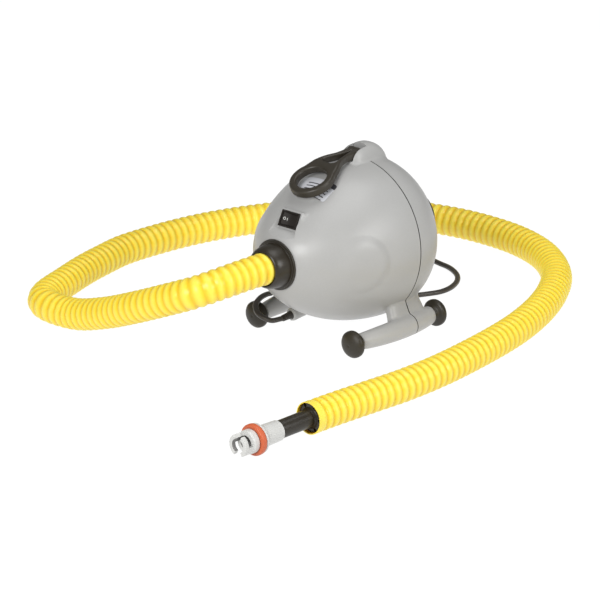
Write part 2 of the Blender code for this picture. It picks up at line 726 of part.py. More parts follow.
def make_impeller(name, y):
    """A hub, a thin disc and straight blades that lean back from the hub."""
    hub = [(y, SHAFT_R + GAP), (y, 0.0100), (y + 0.0100, 0.0100), (y + 0.0100, SHAFT_R + GAP)]
    wheel = turned(name, hub, "inner_plastic", 12)
    disc = [(y, 0.0080), (y, IMPELLER_R), (y + 0.0016, IMPELLER_R), (y + 0.0016, 0.0080)]
    combine(wheel, "UNION", turned("disc", disc, None, 24))
    for i in range(BLADES):
        turn = Matrix.Rotation(2 * math.pi * i / BLADES, 4, "Y")
        lean = Matrix.Rotation(math.radians(28), 4, "Y")
        place = Matrix.Translation((0, 0, AXIS_Z)) @ turn @ Matrix.Translation((0.0090, 0, 0)) @ lean
        blade = add_box("blade", (0, y + 0.0008, -0.0008), (0.0500, y + 0.0095, 0.0008), None, place)
        combine(wheel, "UNION", blade)
    return wheel


def make_rotor():
    rod("motor_shaft", (0, -0.0600, AXIS_Z), (0, 0.0780, AXIS_Z), SHAFT_R, "steel", 16)
    hollow = SHAFT_R + GAP
    turned("armature_core", [(0.0, hollow), (0.0, 0.0195), (0.0420, 0.0195), (0.0420, hollow)],
           "steel", 24)
    turned("commutator", [(0.0495, hollow), (0.0495, 0.0110), (0.0590, 0.0110), (0.0590, hollow)],
           "copper", 20)


def make_stator():
    turned("motor_can", [(-0.0044, 0.0404), (-0.0044, 0.0420), (0.0600, 0.0420), (0.0600, 0.0404)],
           "steel", 28)
    turned("stator_core", [(-0.0020, 0.0275), (-0.0020, 0.0400), (0.0440, 0.0400), (0.0440, 0.0275)],
           "steel", 28)
    for name, middle in (("field_coil_upper", 90), ("field_coil_lower", 270)):
        outline = arc_band(0.0205, 0.0270, middle - 62, middle + 62, 10)
        coil = extruded(name, outline, -0.0470, 0.0035, "copper")
        coil.data.transform(Matrix.Translation((0, 0, AXIS_Z)) @ Matrix.Rotation(math.pi / 2, 4, "X"))
    front = [(-0.0167, 0.0113), (-0.0167, 0.0155), (-0.0080, 0.0155), (-0.0080, 0.0420),
             (-0.0047, 0.0420), (-0.0047, 0.0113)]
    turned("end_frame_front", front, "steel", 24)
    rear = [(0.0603, 0.0113), (0.0603, 0.0420), (0.0633, 0.0420), (0.0633, 0.0160),
            (0.0750, 0.0160), (0.0750, 0.0113)]
    turned("end_frame_rear", rear, "steel", 24)
    for name, y in (("bearing_front", -0.0140), ("bearing_rear", 0.0660)):
        hollow = SHAFT_R + GAP
        turned(name, [(y, hollow), (y, 0.0110), (y + 0.0070, 0.0110), (y + 0.0070, hollow)], "steel", 20)
    turned("mount_ring_rear", [(0.0480, 0.0423), (0.0480, 0.0500), (0.0560, 0.0500), (0.0560, 0.0423)],
           "foot_rubber", 28)
    make_bulkhead()
    make_brushes()


def arc_band(inner, outer, start, stop, steps):
    """Outline of a band of a circle, in the XY plane."""
    angles = [math.radians(start + (stop - start) * i / steps) for i in range(steps + 1)]
    out = [(outer * math.cos(a), outer * math.sin(a)) for a in angles]
    back = [(inner * math.cos(a), inner * math.sin(a)) for a in reversed(angles)]
    return out + back


def make_bulkhead():
    """The plate that holds the motor's tail in the rear shell, with air holes."""
    profile = [(0.0525, 0.0509), (0.0525, 0.0885), (0.0555, 0.0870), (0.0555, 0.0509)]
    plate = turned("motor_bulkhead", profile, "inner_plastic", 24)
    holes = []
    for i in range(6):
        angle = math.radians(30 + 60 * i)
        x, z = 0.0690 * math.cos(angle), AXIS_Z + 0.0690 * math.sin(angle)
        holes.append(rod("hole", (x, 0.048, z), (x, 0.060, z), 0.0100, None, 8))
    combine(plate, "DIFFERENCE", *holes)


def make_brushes():
    for side, side_name in ((-1, "left"), (1, "right")):
        centre = Vector((side * 0.0255, 0.0542, AXIS_Z))
        low = centre - Vector((0.0120, 0.0042, 0.0052))
        high = centre + Vector((0.0120, 0.0042, 0.0052))
        holder = add_box(f"brush_holder_{side_name}", low, high, "brass")
        tunnel = Vector((0.0200, 0.0030, 0.0040))
        combine(holder, "DIFFERENCE", add_box("tunnel", centre - tunnel, centre + tunnel))
        inner, outer = sorted((side * 0.0114, side * 0.0300))
        add_box(f"carbon_brush_{side_name}", (inner, 0.0542 - 0.0027, AXIS_Z - 0.0037),
                (outer, 0.0542 + 0.0027, AXIS_Z + 0.0037), "carbon")


def make_electrics():
    """The suppressor and the terminals that the lead is wired to, under the blower."""
    low_y, high_y, low_z, high_z = -0.0350, -0.0180, 0.0275, 0.0365
    add_box("suppressor_capacitor", (-0.0185, low_y, low_z), (-0.0015, high_y, high_z), "dark_plastic")
    add_box("terminal_block", (0.0025, low_y, low_z), (0.0225, high_y, high_z), "inner_plastic")


# Mains lead ------------------------------------------------------------------------


def catmull(a, b, c, d, t):
    return 0.5 * ((2 * b) + (c - a) * t + (2 * a - 5 * b + 4 * c - d) * t ** 2
                  + (3 * b - a - 3 * c + d) * t ** 3)


def smooth_route(points, spacing):
    """Points at even spacing on one smooth curve through a route's own points."""
    points = [Vector(p) for p in points]
    padded = [2 * points[0] - points[1]] + points + [2 * points[-1] - points[-2]]
    fine = [points[0]]
    for i in range(len(points) - 1):
        for k in range(1, 21):
            fine.append(catmull(*padded[i:i + 4], k / 20))
    lengths = [0.0]
    for a, b in zip(fine, fine[1:]):
        lengths.append(lengths[-1] + (b - a).length)
    count = max(2, round(lengths[-1] / spacing))
    route, j = [], 0
    for i in range(count + 1):
        target = lengths[-1] * i / count
        while j < len(fine) - 2 and lengths[j + 1] < target:
            j += 1
        part = (target - lengths[j]) / (lengths[j + 1] - lengths[j])
        route.append(fine[j].lerp(fine[j + 1], part))
    return route


def tube(name, points, radius, resolution, finish):
    curve = bpy.data.curves.new(name, "CURVE")
    curve.dimensions = "3D"
    curve.bevel_depth = radius
    curve.bevel_resolution = resolution
    curve.use_fill_caps = True
    spline = curve.splines.new("POLY")
    spline.points.add(len(points) - 1)
    for spot, place in zip(spline.points, points):
        spot.co = (*place, 1.0)
    curve.materials.append(material(finish))
    obj = bpy.data.objects.new(name, curve)
    bpy.context.scene.collection.objects.link(obj)
    return obj


def make_cord():
    relief = [(0, 0), (0, 0.0049), (0.0155, 0.0049), (0.0165, 0.0046), (0.0300, 0.0039), (0.0300, 0)]
    start, end = Vector((-0.0299, -0.0500, 0.0266)), Vector((-0.0305, -0.0800, 0.0246))
    turn = (end - start).to_track_quat("Y", "Z").to_matrix().to_4x4()
    turned("cord_strain_relief", relief, "cord_rubber", 12, matrix=Matrix.Translation(start) @ turn)
    tube("power_cord_front", smooth_route(CORD_FRONT_ROUTE, 0.017), CORD_D / 2, 2, "cord_rubber")
    tube("power_cord_rear", smooth_route(CORD_REAR_ROUTE, 0.017), CORD_D / 2, 2, "cord_rubber")
    upright = Matrix.Rotation(math.pi / 2, 4, "X")
    half = COIL_RINGS * CORD_D / 2
    low, high = GAP, GAP + COIL_LAYERS * CORD_D
    ring = [(low, COIL_MID_R - half), (low, COIL_MID_R + half), (high, COIL_MID_R + half),
            (high, COIL_MID_R - half)]
    turned("power_cord_coil", ring, "cord_rubber", 28,
           matrix=Matrix.Translation((*COIL_CENTRE, 0)) @ upright)
    make_tie(high)
    make_plug()


def make_tie(top):
    """A flat band round the coil's section, open at a small slit under the coil."""
    half = COIL_RINGS * CORD_D / 2
    middle = COIL_CENTRE[0] + COIL_MID_R
    inner = (half + 0.0010, top + GAP)
    thick = 0.0012
    outline = [(-inner[0], 0.0006), (-inner[0], inner[1]), (inner[0], inner[1]), (inner[0], 0.0006),
               (inner[0] + thick, 0.0006), (inner[0] + thick, inner[1] + thick),
               (-inner[0] - thick, inner[1] + thick), (-inner[0] - thick, 0.0006)]
    tie = extruded("cord_tie", outline, -0.0050, 0.0050, "dark_plastic")
    upright = Matrix.Rotation(math.pi / 2, 4, "X")
    tie.data.transform(Matrix.Translation((middle, COIL_CENTRE[1], 0)) @ upright)


def make_plug():
    """A moulded two-pin plug that lies on the floor and points to -X."""
    heading = Matrix.Translation(PLUG_START) @ Matrix.Rotation(math.pi / 2, 4, "Z")
    relief = [(0, 0), (0, 0.0038), (0.0220, 0.0056), (0.0220, 0)]
    cone = turned("plug_body", relief, "cord_rubber", 12, matrix=heading)
    outline = [(-0.0065, 0.0), (0.0065, 0.0), (0.0130, 0.0130), (0.0130, 0.0360), (-0.0130, 0.0360),
               (-0.0130, 0.0130)]
    block = extruded("block", outline, -0.0066, 0.0066)
    block.data.transform(heading @ Matrix.Translation((0, 0.0200, 0)))
    combine(cone, "UNION", block)
    for side, name in ((-1, "left"), (1, "right")):
        offset = side * 0.0093
        pin = rod(f"plug_pin_{name}", (offset, 0.0563, 0), (offset, 0.0753, 0), 0.0024, "steel", 12)
        pin.data.transform(heading)


# Hose and nozzle --------------------------------------------------------------------


def make_hose():
    tube("hose", smooth_route(HOSE_ROUTE, 0.042), HOSE_R, 4, "hose_yellow")
    end = Vector(HOSE_ROUTE[-1])
    place = Matrix.Translation(end) @ Matrix.Rotation(math.pi - NOZZLE_YAW, 4, "Z")
    place = place @ Matrix.Rotation(-NOZZLE_DROOP, 4, "X")
    seat = [(0.0008, 0.0), (0.0008, 0.0180), (0.0030, 0.0180), (0.0030, 0.0106), (COLLAR_START - GAP, 0.0106),
            (COLLAR_START - GAP, 0.0)]
    bored("nozzle_tube", seat, 0.0080, COLLAR_START, "dark_plastic", place)
    start, flange, tip = COLLAR_START, FLANGE_START, NOZZLE_LENGTH
    low, high = flange + 0.0030, flange + 0.0105
    collar = [(start, 0.0), (start, 0.0121), (flange, 0.0130), (flange, 0.0178),
              (flange + 0.0027, 0.0178), (flange + 0.0027, 0.0125), (high + GAP, 0.0125),
              (high + GAP, 0.0142), (tip - SLOT_DEPTH - 0.0020, 0.0142), (tip - SLOT_DEPTH - 0.0010, 0.0134),
              (tip, 0.0134), (tip, 0.0)]
    nozzle = bored("bayonet_nozzle", collar, NOZZLE_BORE_R, tip, "nozzle_white", place)
    cut_bayonet(nozzle, place)
    ring = [(low, 0.0128), (low, 0.0170), (low + 0.0015, 0.0186), (high - 0.0015, 0.0186), (high, 0.0170),
            (high, 0.0128)]
    turned("nozzle_gasket", ring, "gasket_orange", 28, matrix=place)


def bored(name, profile, bore, length, finish, place):
    """A turned piece with a hole along its whole length."""
    piece = turned(name, profile, finish, 24, matrix=place)
    hole = [(-0.005, 0), (-0.005, bore), (length + 0.005, bore), (length + 0.005, 0)]
    return combine(piece, "DIFFERENCE", turned("bore", hole, None, 16, matrix=place))


def cut_bayonet(nozzle, place):
    """Two opposite L-shaped slots, open at the front, that leave two hooks for a valve's lugs."""
    bottom = NOZZLE_LENGTH - SLOT_DEPTH
    cuts = []
    for turn in (0, 180):
        cuts.append(sector("entry", 60 + turn, 118 + turn, bottom, NOZZLE_LENGTH + 0.01, place))
        cuts.append(sector("catch", 100 + turn, 188 + turn, bottom, NOZZLE_LENGTH - LIP_LENGTH, place))
    return combine(nozzle, "DIFFERENCE", *cuts)


def sector(name, start, stop, low, high, place):
    """A wedge of a thick ring about Y, between two angles in degrees from X towards Z."""
    angles = [math.radians(start + (stop - start) * i / 8) for i in range(9)]
    outline = [(0.020 * math.cos(a), 0.020 * math.sin(a)) for a in angles]
    outline += [(0.005 * math.cos(a), 0.005 * math.sin(a)) for a in reversed(angles)]
    bm = bmesh.new()
    rings = [[bm.verts.new((x, y, z)) for x, z in outline] for y in (low, high)]
    bridge(bm, rings[0], rings[1], len(outline))
    bm.faces.new(rings[0])
    bm.faces.new(rings[1])
    bm.transform(place)
    return add_object(name, bm, None)


def main():
    clear_scene()
    make_shells()
    make_feet()
    make_outlet_bell()
    make_intake()
    make_switch()
    make_handle()
    make_label()
    make_screws()
    make_blower()
    make_rotor()
    make_stator()
    make_electrics()
    make_cord()
    make_hose()


main()
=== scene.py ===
"""Looks of the electric air mattress pump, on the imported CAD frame.

Metres, +Z up, origin on the floor under the middle of the housing, air outlet to -Y.
"""
from math import atan2, copysign, cos, hypot, pi, radians, sin, sqrt

import bmesh
import bpy
from mathutils import Matrix, Vector


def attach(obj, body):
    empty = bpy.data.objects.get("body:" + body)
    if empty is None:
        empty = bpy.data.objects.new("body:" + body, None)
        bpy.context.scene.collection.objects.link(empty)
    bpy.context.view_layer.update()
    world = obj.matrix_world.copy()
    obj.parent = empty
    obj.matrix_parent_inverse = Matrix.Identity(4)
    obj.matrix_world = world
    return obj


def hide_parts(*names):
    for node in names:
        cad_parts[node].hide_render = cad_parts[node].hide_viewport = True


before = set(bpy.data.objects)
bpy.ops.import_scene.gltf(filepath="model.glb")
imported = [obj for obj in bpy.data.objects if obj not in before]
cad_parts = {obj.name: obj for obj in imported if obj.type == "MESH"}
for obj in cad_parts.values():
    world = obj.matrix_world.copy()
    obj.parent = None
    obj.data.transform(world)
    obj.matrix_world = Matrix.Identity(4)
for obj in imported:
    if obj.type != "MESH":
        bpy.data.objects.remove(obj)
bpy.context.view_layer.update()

# Housing, as in the CAD
AXIS_Z = 0.1112
AXIS_RISE = 0.003
EGG_Y = 0.024
EGG_R = 0.0999
NOSE_LENGTH = 0.156
NOSE_POWER = 1.9
TAIL_LENGTH = 0.076
TAIL_POWER = 2.3
NOSE_Y = -0.1228
SEAM_Y = 0.0226
WALL = 0.0026
FLAT_TOP = 0.1
WIDE = 0.038
FLAT_START_Y = -0.015
FLAT_REACH = 0.09
CHEEK_Y, CHEEK_Z = -0.058, 0.112
CHEEK_HALF_Y, CHEEK_HALF_Z = 0.034, 0.038
CHEEK_HEIGHT = 0.0026
SKID_X = 0.0782
SKID_BOW = 0.006
SKID_Z = 0.0167
SKID_END_Y = 0.0645
STEM_HOLE_R = 0.0053
SKID_R_FRONT, SKID_R_MIDDLE, SKID_R_REAR = 0.0098, 0.013, 0.0113
FOOT_R = 0.0167
SWITCH_Y, SWITCH_Z = -0.0997, 0.1615
SWITCH_SLOPE = radians(63.4)
ROCKER_TILT = radians(8)
PIN_Y, PIN_Z = 0.017, 0.2178
HANDLE_THICK = 0.0105
RING_OUT_R, RING_IN_R, RING_REACH = 0.028, 0.019, 0.08
ARM_SLOPE, RING_SLOPE = radians(2), radians(25)
BEND_START, BEND_REACH, BEND_STEP = 0.03, 0.028, 0.0005
HOOD_Y, HOOD_Z, HOOD_HEIGHT = 0.029, 0.196, 0.0324
PORT_END_Y = 0.1255
OUTLET_Y = -0.148

# Hose, nozzle and lead, as in the CAD
HOSE_R = 0.02
HOSE_PITCH = 0.0108
CORD_D = 0.007
COIL_CENTRE = (-0.11, 0.18)
COIL_MID_R = 0.0385
NOZZLE_YAW = radians(2.6)
NOZZLE_DROOP = radians(1.0)
COLLAR_START, FLANGE_START, NOZZLE_LENGTH = 0.0486, 0.079, 0.1115
NOZZLE_BORE_R = 0.0086
LIP_LENGTH, SLOT_DEPTH = 0.0052, 0.013
PLUG_START = Vector((-0.036, 0.1, 0.007))
HOSE_FLOOR_Z = 0.0203
HOSE_ROUTE = [
    (0.0, -0.1484, 0.112), (-0.0012, -0.159, 0.1118), (-0.0053, -0.1787, 0.11), (-0.0134, -0.2083, 0.106),
    (-0.0311, -0.232, 0.0976), (-0.0718, -0.24, 0.0804), (-0.1192, -0.2417, 0.0606),
    (-0.1746, -0.2364, 0.0388), (-0.2319, -0.2309, 0.022),
] + [(x, y, HOSE_FLOOR_Z) for x, y in [
    (-0.283, -0.2285), (-0.3085, -0.207), (-0.3277, -0.1529), (-0.342, -0.1073), (-0.3509, -0.0679),
    (-0.3588, -0.0223), (-0.3569, 0.0292), (-0.3508, 0.0768), (-0.3402, 0.1213), (-0.3204, 0.1734),
    (-0.285, 0.238), (-0.232, 0.29), (-0.172, 0.326), (-0.111, 0.3427), (-0.0451, 0.3444),
    (0.0102, 0.3337), (0.0615, 0.3094), (0.1092, 0.2686), (0.1432, 0.2194), (0.1704, 0.1633),
    (0.1907, 0.1029), (0.2033, 0.0456), (0.2127, -0.0206), (0.218, -0.0808), (0.2185, -0.1405),
    (0.2137, -0.1997), (0.2095, -0.2502), (0.2072, -0.294),
]]
CORD_FRONT_ROUTE = [
    (-0.0305, -0.0812, 0.0246), (-0.0309, -0.0885, 0.0241), (-0.0345, -0.096, 0.025),
    (-0.045, -0.1015, 0.029), (-0.058, -0.0985, 0.0345), (-0.0675, -0.085, 0.039),
    (-0.0735, -0.0665, 0.04), (-0.0815, -0.045, 0.0355), (-0.096, -0.024, 0.03), (-0.106, -0.004, 0.0185),
    (-0.112, 0.02, 0.0075), (-0.119, 0.046, 0.004), (-0.131, 0.08, 0.0038), (-0.147, 0.115, 0.0038),
    (-0.1555, 0.153, 0.0038),
]
CORD_REAR_ROUTE = [
    (-0.1555, 0.207, 0.0095), (-0.154, 0.228, 0.005), (-0.142, 0.25, 0.0038), (-0.12, 0.259, 0.0038),
    (-0.092, 0.253, 0.0038), (-0.068, 0.244, 0.0038), (-0.045, 0.24, 0.0038), (-0.023, 0.23, 0.0038),
    (-0.0065, 0.216, 0.0038), (0.005, 0.198, 0.0038), (0.011, 0.179, 0.0038), (0.0105, 0.161, 0.0038),
    (0.0045, 0.147, 0.0038), (-0.0025, 0.134, 0.0038), (-0.009, 0.118, 0.004), (-0.0155, 0.105, 0.0052),
    (-0.0245, 0.1, 0.0068), (-0.0352, 0.1, 0.007),
]


# Small helpers ---------------------------------------------


def add_mesh(name, bm, smooth=40):
    bmesh.ops.recalc_face_normals(bm, faces=bm.faces)
    mesh = bpy.data.meshes.new(name)
    bm.to_mesh(mesh)
    bm.free()
    obj = bpy.data.objects.new(name, mesh)
    bpy.context.scene.collection.objects.link(obj)
    shade(obj, smooth)
    return obj


def shade(obj, degrees=40):
    obj.data.shade_smooth()
    obj.data.set_sharp_from_angle(angle=radians(degrees))


def apply_modifiers(obj):
    bpy.context.view_layer.update()
    graph = bpy.context.evaluated_depsgraph_get()
    result = bpy.data.meshes.new_from_object(obj.evaluated_get(graph))
    obj.modifiers.clear()
    obj.data = result
    return obj


def boolean(target, operation, *tools):
    for tool in tools:
        modifier = target.modifiers.new("combine", "BOOLEAN")
        modifier.operation = operation
        modifier.solver = "EXACT"
        modifier.object = tool
        apply_modifiers(target)
        bpy.data.objects.remove(tool, do_unlink=True)
    return target


def cut(target, *tools):
    return boolean(target, "DIFFERENCE", *tools)


def remesh(obj, voxel):
    """One closed skin of even small faces over everything in the object."""
    modifier = obj.modifiers.new("skin", "REMESH")
    modifier.mode = "VOXEL"
    modifier.voxel_size = voxel
    modifier.use_smooth_shade = True
    return apply_modifiers(obj)


def relax(bm, verts, times):
    for _ in range(times):
        bmesh.ops.smooth_vert(bm, verts=verts, factor=0.5, use_axis_x=True, use_axis_y=True, use_axis_z=True)


def joined(*objs):
    """One object from several meshes, with the others removed."""
    bm = bmesh.new()
    for obj in objs:
        obj.data.transform(obj.matrix_world)
        bm.from_mesh(obj.data)
    name = objs[0].name
    for obj in objs:
        bpy.data.objects.remove(obj, do_unlink=True)
    return add_mesh(name, bm)


def bevelled(obj, width, segments=2, angle=30):
    modifier = obj.modifiers.new("edges", "BEVEL")
    modifier.width = width
    modifier.segments = segments
    modifier.limit_method = "ANGLE"
    modifier.angle_limit = radians(angle)
    apply_modifiers(obj)
    shade(obj, 50)
    return obj


def make_ring(bm, y, radius, segments):
    if radius == 0:
        return [bm.verts.new((0, y, 0))]
    step = 2 * pi / segments
    return [bm.verts.new((radius * cos((i + 0.5) * step), y, radius * sin((i + 0.5) * step)))
            for i in range(segments)]


def bridge(bm, first, second):
    count = max(len(first), len(second))
    for i in range(count):
        j = (i + 1) % count
        corners = []
        for vert in (first[i % len(first)], first[j % len(first)],
                     second[j % len(second)], second[i % len(second)]):
            if vert not in corners:
                corners.append(vert)
        if len(corners) > 2:
            bm.faces.new(corners)


def loft(bm, rings):
    """Skins closed rings in a row and caps both ends."""
    for first, second in zip(rings, rings[1:]):
        bridge(bm, first, second)
    bm.faces.new(rings[0])
    bm.faces.new(rings[-1])


def turned(name, profile, centre=(0, 0, AXIS_Z), segments=64, matrix=None, smooth=35):
    """A solid turned about Y from (y, radius) points; ends on the axis close it."""
    bm = bmesh.new()
    rings = [make_ring(bm, y, radius, segments) for y, radius in profile]
    pairs = list(zip(rings, rings[1:]))
    if profile[0][1] > 0 or profile[-1][1] > 0:
        pairs.append((rings[-1], rings[0]))
    for first, second in pairs:
        bridge(bm, first, second)
    bm.transform(matrix if matrix else Matrix.Translation(centre))
    return add_mesh(name, bm, smooth)


def aimed(place, heading):
    """A frame at a place with its Y axis along a heading."""
    return Matrix.Translation(place) @ heading.to_track_quat("Y", "Z").to_matrix().to_4x4()


def rod(name, start, end, radius, segments=32):
    start, end = Vector(start), Vector(end)
    length = (end - start).length
    profile = [(0, 0), (0, radius), (length, radius), (length, 0)]
    return turned(name, profile, segments=segments, matrix=aimed(start, end - start))


def add_box(name, low, high, matrix=None):
    bm = bmesh.new()
    size = [b - a for a, b in zip(low, high)]
    middle = [(a + b) / 2 for a, b in zip(low, high)]
    bmesh.ops.create_cube(bm, size=1.0, matrix=Matrix.Translation(middle) @ Matrix.Diagonal((*size, 1.0)))
    if matrix:
        bm.transform(matrix)
    return add_mesh(name, bm, 20)


def circle(radius, count, lift=0.0):
    """Points round a circle, with the second coordinate raised by lift."""
    angles = [2 * pi * k / count for k in range(count)]
    return [(radius * cos(a), lift + radius * sin(a)) for a in angles]


def smoothstep(t):
    t = min(max(t, 0.0), 1.0)
    return t * t * (3 - 2 * t)


def signed_power(value, power):
    return copysign(abs(value) ** power, value)


# Materials -------------------------------------------------


class Surface:
    """A Principled material with its nodes at hand."""

    def __init__(self, name):
        self.material = bpy.data.materials.new(name)
        self.material.use_nodes = True
        self.nodes = self.material.node_tree.nodes
        self.links = self.material.node_tree.links
        self.shader = self.nodes["Principled BSDF"]
        self.place = self.nodes.new("ShaderNodeTexCoord")

    def set(self, **values):
        for key, value in values.items():
            self.shader.inputs[key.replace("_", " ")].default_value = value

    def node(self, kind, **inputs):
        node = self.nodes.new("ShaderNode" + kind)
        for key, value in inputs.items():
            node.inputs[key.replace("_", " ")].default_value = value
        return node

    def placed(self, kind, **inputs):
        """A texture node laid out in the object's own coordinates."""
        node = self.node(kind, **inputs)
        self.links.new(self.place.outputs["Object"], node.inputs["Vector"])
        return node

    def noise(self, scale, detail=3.0, rough=0.55, stretch=None):
        if not stretch:
            return self.placed("TexNoise", Scale=scale, Detail=detail, Roughness=rough).outputs["Fac"]
        node = self.node("TexNoise", Scale=scale, Detail=detail, Roughness=rough)
        self.links.new(self.placed("Mapping", Scale=stretch).outputs["Vector"], node.inputs["Vector"])
        return node.outputs["Fac"]

    def ramp(self, factor, stops):
        node = self.node("ValToRGB")
        while len(node.color_ramp.elements) < len(stops):
            node.color_ramp.elements.new(0.5)
        for element, (place, color) in zip(node.color_ramp.elements, stops):
            element.position = place
            element.color = (*color, 1.0)
        self.links.new(factor, node.inputs["Fac"])
        return node.outputs["Color"]

    def spread(self, factor, low, high, from_low=0.3, from_high=0.7):
        node = self.node("MapRange", From_Min=from_low, From_Max=from_high, To_Min=low, To_Max=high)
        self.links.new(factor, node.inputs["Value"])
        return node.outputs["Result"]

    def math(self, operation, first, second=None):
        node = self.node("Math")
        node.operation = operation
        for socket, value in zip(node.inputs, (first, second)):
            if value is None:
                continue
            if isinstance(value, (int, float)):
                socket.default_value = value
            else:
                self.links.new(value, socket)
        return node.outputs["Value"]

    def bump(self, height, distance, strength=1.0, under=None):
        node = self.node("Bump", Distance=distance, Strength=strength)
        self.links.new(height, node.inputs["Height"])
        if under:
            self.links.new(under, node.inputs["Normal"])
        return node.outputs["Normal"]

    def paint_seam_shade(self, color):
        """Painted shade along the joint between the two shells and round the hood's tongue: a near-black band
        for the shadow in the gap, and for dirt there.
        """
        spot = self.placed("SeparateXYZ").outputs
        away = self.math("ABSOLUTE", self.math("ADD", spot["Y"], -SEAM_Y))
        hood = self.math("SUBTRACT", 0.0199, self.math("ABSOLUTE", spot["X"]))
        hood = self.math("MULTIPLY", hood, self.math("GREATER_THAN", spot["Z"], 0.16))
        away = self.math("MAXIMUM", away, hood)
        mix = self.node("Mix")
        mix.data_type = "RGBA"
        # near-black colour of the painted shade in the seam
        mix.inputs["A"].default_value = (0.07, 0.068, 0.064, 1.0)
        self.links.new(self.spread(away, 0.0, 1.0, 0.00062, 0.00085), mix.inputs["Factor"])
        self.links.new(color, mix.inputs["B"])
        return mix.outputs["Result"]

    def use(self, socket, output):
        self.links.new(output, self.shader.inputs[socket])


def plastic(name, color, roughness=0.4, grain=1800.0, depth=0.00002, vary=0.06, wear=0.05, specular=0.5):
    """Moulded plastic or rubber: fine spark-eroded grain, slow shade and gloss changes."""
    s = Surface(name)
    slow = s.noise(14.0, 4.0)
    dark = tuple(c * (1 - vary) for c in color)
    light = tuple(min(1.0, c * (1 + vary)) for c in color)
    s.use("Base Color", s.ramp(slow, [(0.35, dark), (0.65, light)]))
    s.use("Roughness", s.spread(s.noise(60.0, 5.0), roughness - wear, roughness + wear))
    coarse = s.bump(s.noise(90.0, 2.0), depth * 1.5, 0.5)
    s.use("Normal", s.bump(s.noise(grain, 2.0), depth, 0.8, coarse))
    s.set(Specular_IOR_Level=specular)
    return s.material


def metal(name, color):
    """Machined or drawn metal with fine lines along one way."""
    s = Surface(name)
    lines = s.noise(120.0, 4.0, 0.6, (1.0, 60.0, 1.0))
    dark = tuple(c * 0.82 for c in color)
    s.use("Base Color", s.ramp(lines, [(0.3, dark), (0.7, color)]))
    s.use("Roughness", s.spread(lines, 0.24, 0.42))
    s.use("Normal", s.bump(lines, 0.00001, 0.6))
    s.set(Metallic=1.0)
    return s.material


def winding():
    """Enamelled copper wire laid side by side."""
    s = Surface("winding")
    wires = s.placed("TexWave", Scale=320.0, Distortion=1.2)
    wires.bands_direction = "Z"
    s.use("Base Color", s.ramp(wires.outputs["Fac"], [(0.1, (0.18, 0.06, 0.02)), (0.7, (0.62, 0.26, 0.11))]))
    s.use("Normal", s.bump(wires.outputs["Fac"], 0.0002, 0.8))
    s.use("Roughness", s.spread(s.noise(80.0), 0.25, 0.42))
    s.set(Metallic=0.85)
    return s.material


def foam():
    s = Surface("foam")
    cells = s.placed("TexVoronoi", Scale=900.0).outputs["Distance"]
    s.use("Base Color", s.ramp(cells, [(0.05, (0.01, 0.01, 0.012)), (0.6, (0.085, 0.085, 0.09))]))
    s.use("Normal", s.bump(cells, 0.0006, 1.0))
    s.set(Roughness=0.95)
    return s.material


def shell_plastic():
    """The housing's light grey plastic: satin, with a fine grain, faint sink marks and painted shade along
    the shell joint.
    """
    s = Surface("shell")
    slow = s.noise(9.0, 3.0)
    fine = s.noise(420.0, 2.0)
    mixed = s.math("ADD", s.math("MULTIPLY", slow, 0.75), s.math("MULTIPLY", fine, 0.25))
    tone = s.ramp(mixed, [(0.36, (0.355, 0.354, 0.346)), (0.64, (0.384, 0.383, 0.376))])
    s.use("Base Color", s.paint_seam_shade(tone))
    s.use("Roughness", s.spread(s.noise(45.0, 5.0), 0.33, 0.43))
    low = s.bump(s.noise(28.0, 2.0), 0.00006, 0.25)
    s.use("Normal", s.bump(s.noise(2200.0, 2.0), 0.000016, 0.7, low))
    s.set(Specular_IOR_Level=0.45)
    return s.material


def hose_plastic():
    """Translucent-looking yellow vinyl: darker and warmer in the valleys as painted shade, paler on the
    crests as painted highlight.
    """
    s = Surface("hose_vinyl")
    crest = s.node("Attribute")
    crest.attribute_name = "crest"
    blotch = s.noise(26.0, 3.0)
    mixed = s.math("ADD", s.math("MULTIPLY", crest.outputs["Fac"], 0.78), s.math("MULTIPLY", blotch, 0.22))
    # The crest ramp paints shade into the valleys and a highlight onto the crests.
    s.use("Base Color", s.ramp(mixed, [(0.05, (0.8, 0.47, 0.012)), (0.42, (0.86, 0.62, 0.03)),
                                       (0.9, (0.9, 0.74, 0.09))]))
    s.use("Roughness", s.spread(s.noise(70.0, 4.0), 0.3, 0.42))
    s.use("Normal", s.bump(s.noise(700.0, 3.0), 0.00003, 0.6))
    s.set(Subsurface_Weight=0.12, Subsurface_Scale=0.004, Specular_IOR_Level=0.45)
    s.shader.inputs["Subsurface Radius"].default_value = (1.0, 0.6, 0.1)
    return s.material


def label_film():
    """A plain pale sticker with a generic pattern of blocks and lines, no lettering."""
    s = Surface("label")
    spot = s.placed("SeparateXYZ").outputs
    x, y = spot["X"], spot["Y"]
    rows = s.math("FRACT", s.math("MULTIPLY", y, 230.0))
    lines = s.math("LESS_THAN", rows, 0.34)
    inside = s.math("LESS_THAN", s.math("ABSOLUTE", s.math("ADD", x, -0.004)), 0.017)
    band = s.math("GREATER_THAN", y, -0.05)
    body = s.math("MULTIPLY", s.math("MULTIPLY", lines, inside), s.math("SUBTRACT", 1.0, band))
    patch = s.math("MULTIPLY", band, s.math("GREATER_THAN", x, 0.008))
    ink = s.math("MAXIMUM", body, patch)
    s.use("Base Color", s.ramp(ink, [(0.1, (0.56, 0.57, 0.6)), (0.9, (0.045, 0.045, 0.05))]))
    s.use("Roughness", s.spread(s.noise(50.0), 0.28, 0.38))
    s.use("Normal", s.bump(s.noise(300.0), 0.00001, 0.5))
    return s.material


def floor_surface():
    s = Surface("floor")
    tone = s.ramp(s.noise(3.0, 2.0), [(0.3, (0.07, 0.07, 0.07)), (0.7, (0.08, 0.08, 0.08))])
    s.use("Base Color", tone)
    s.set(Roughness=0.9, Specular_IOR_Level=0.05, Emission_Strength=0.98)
    s.shader.inputs["Emission Color"].default_value = (1.0, 1.0, 1.0, 1.0)
    return s.material


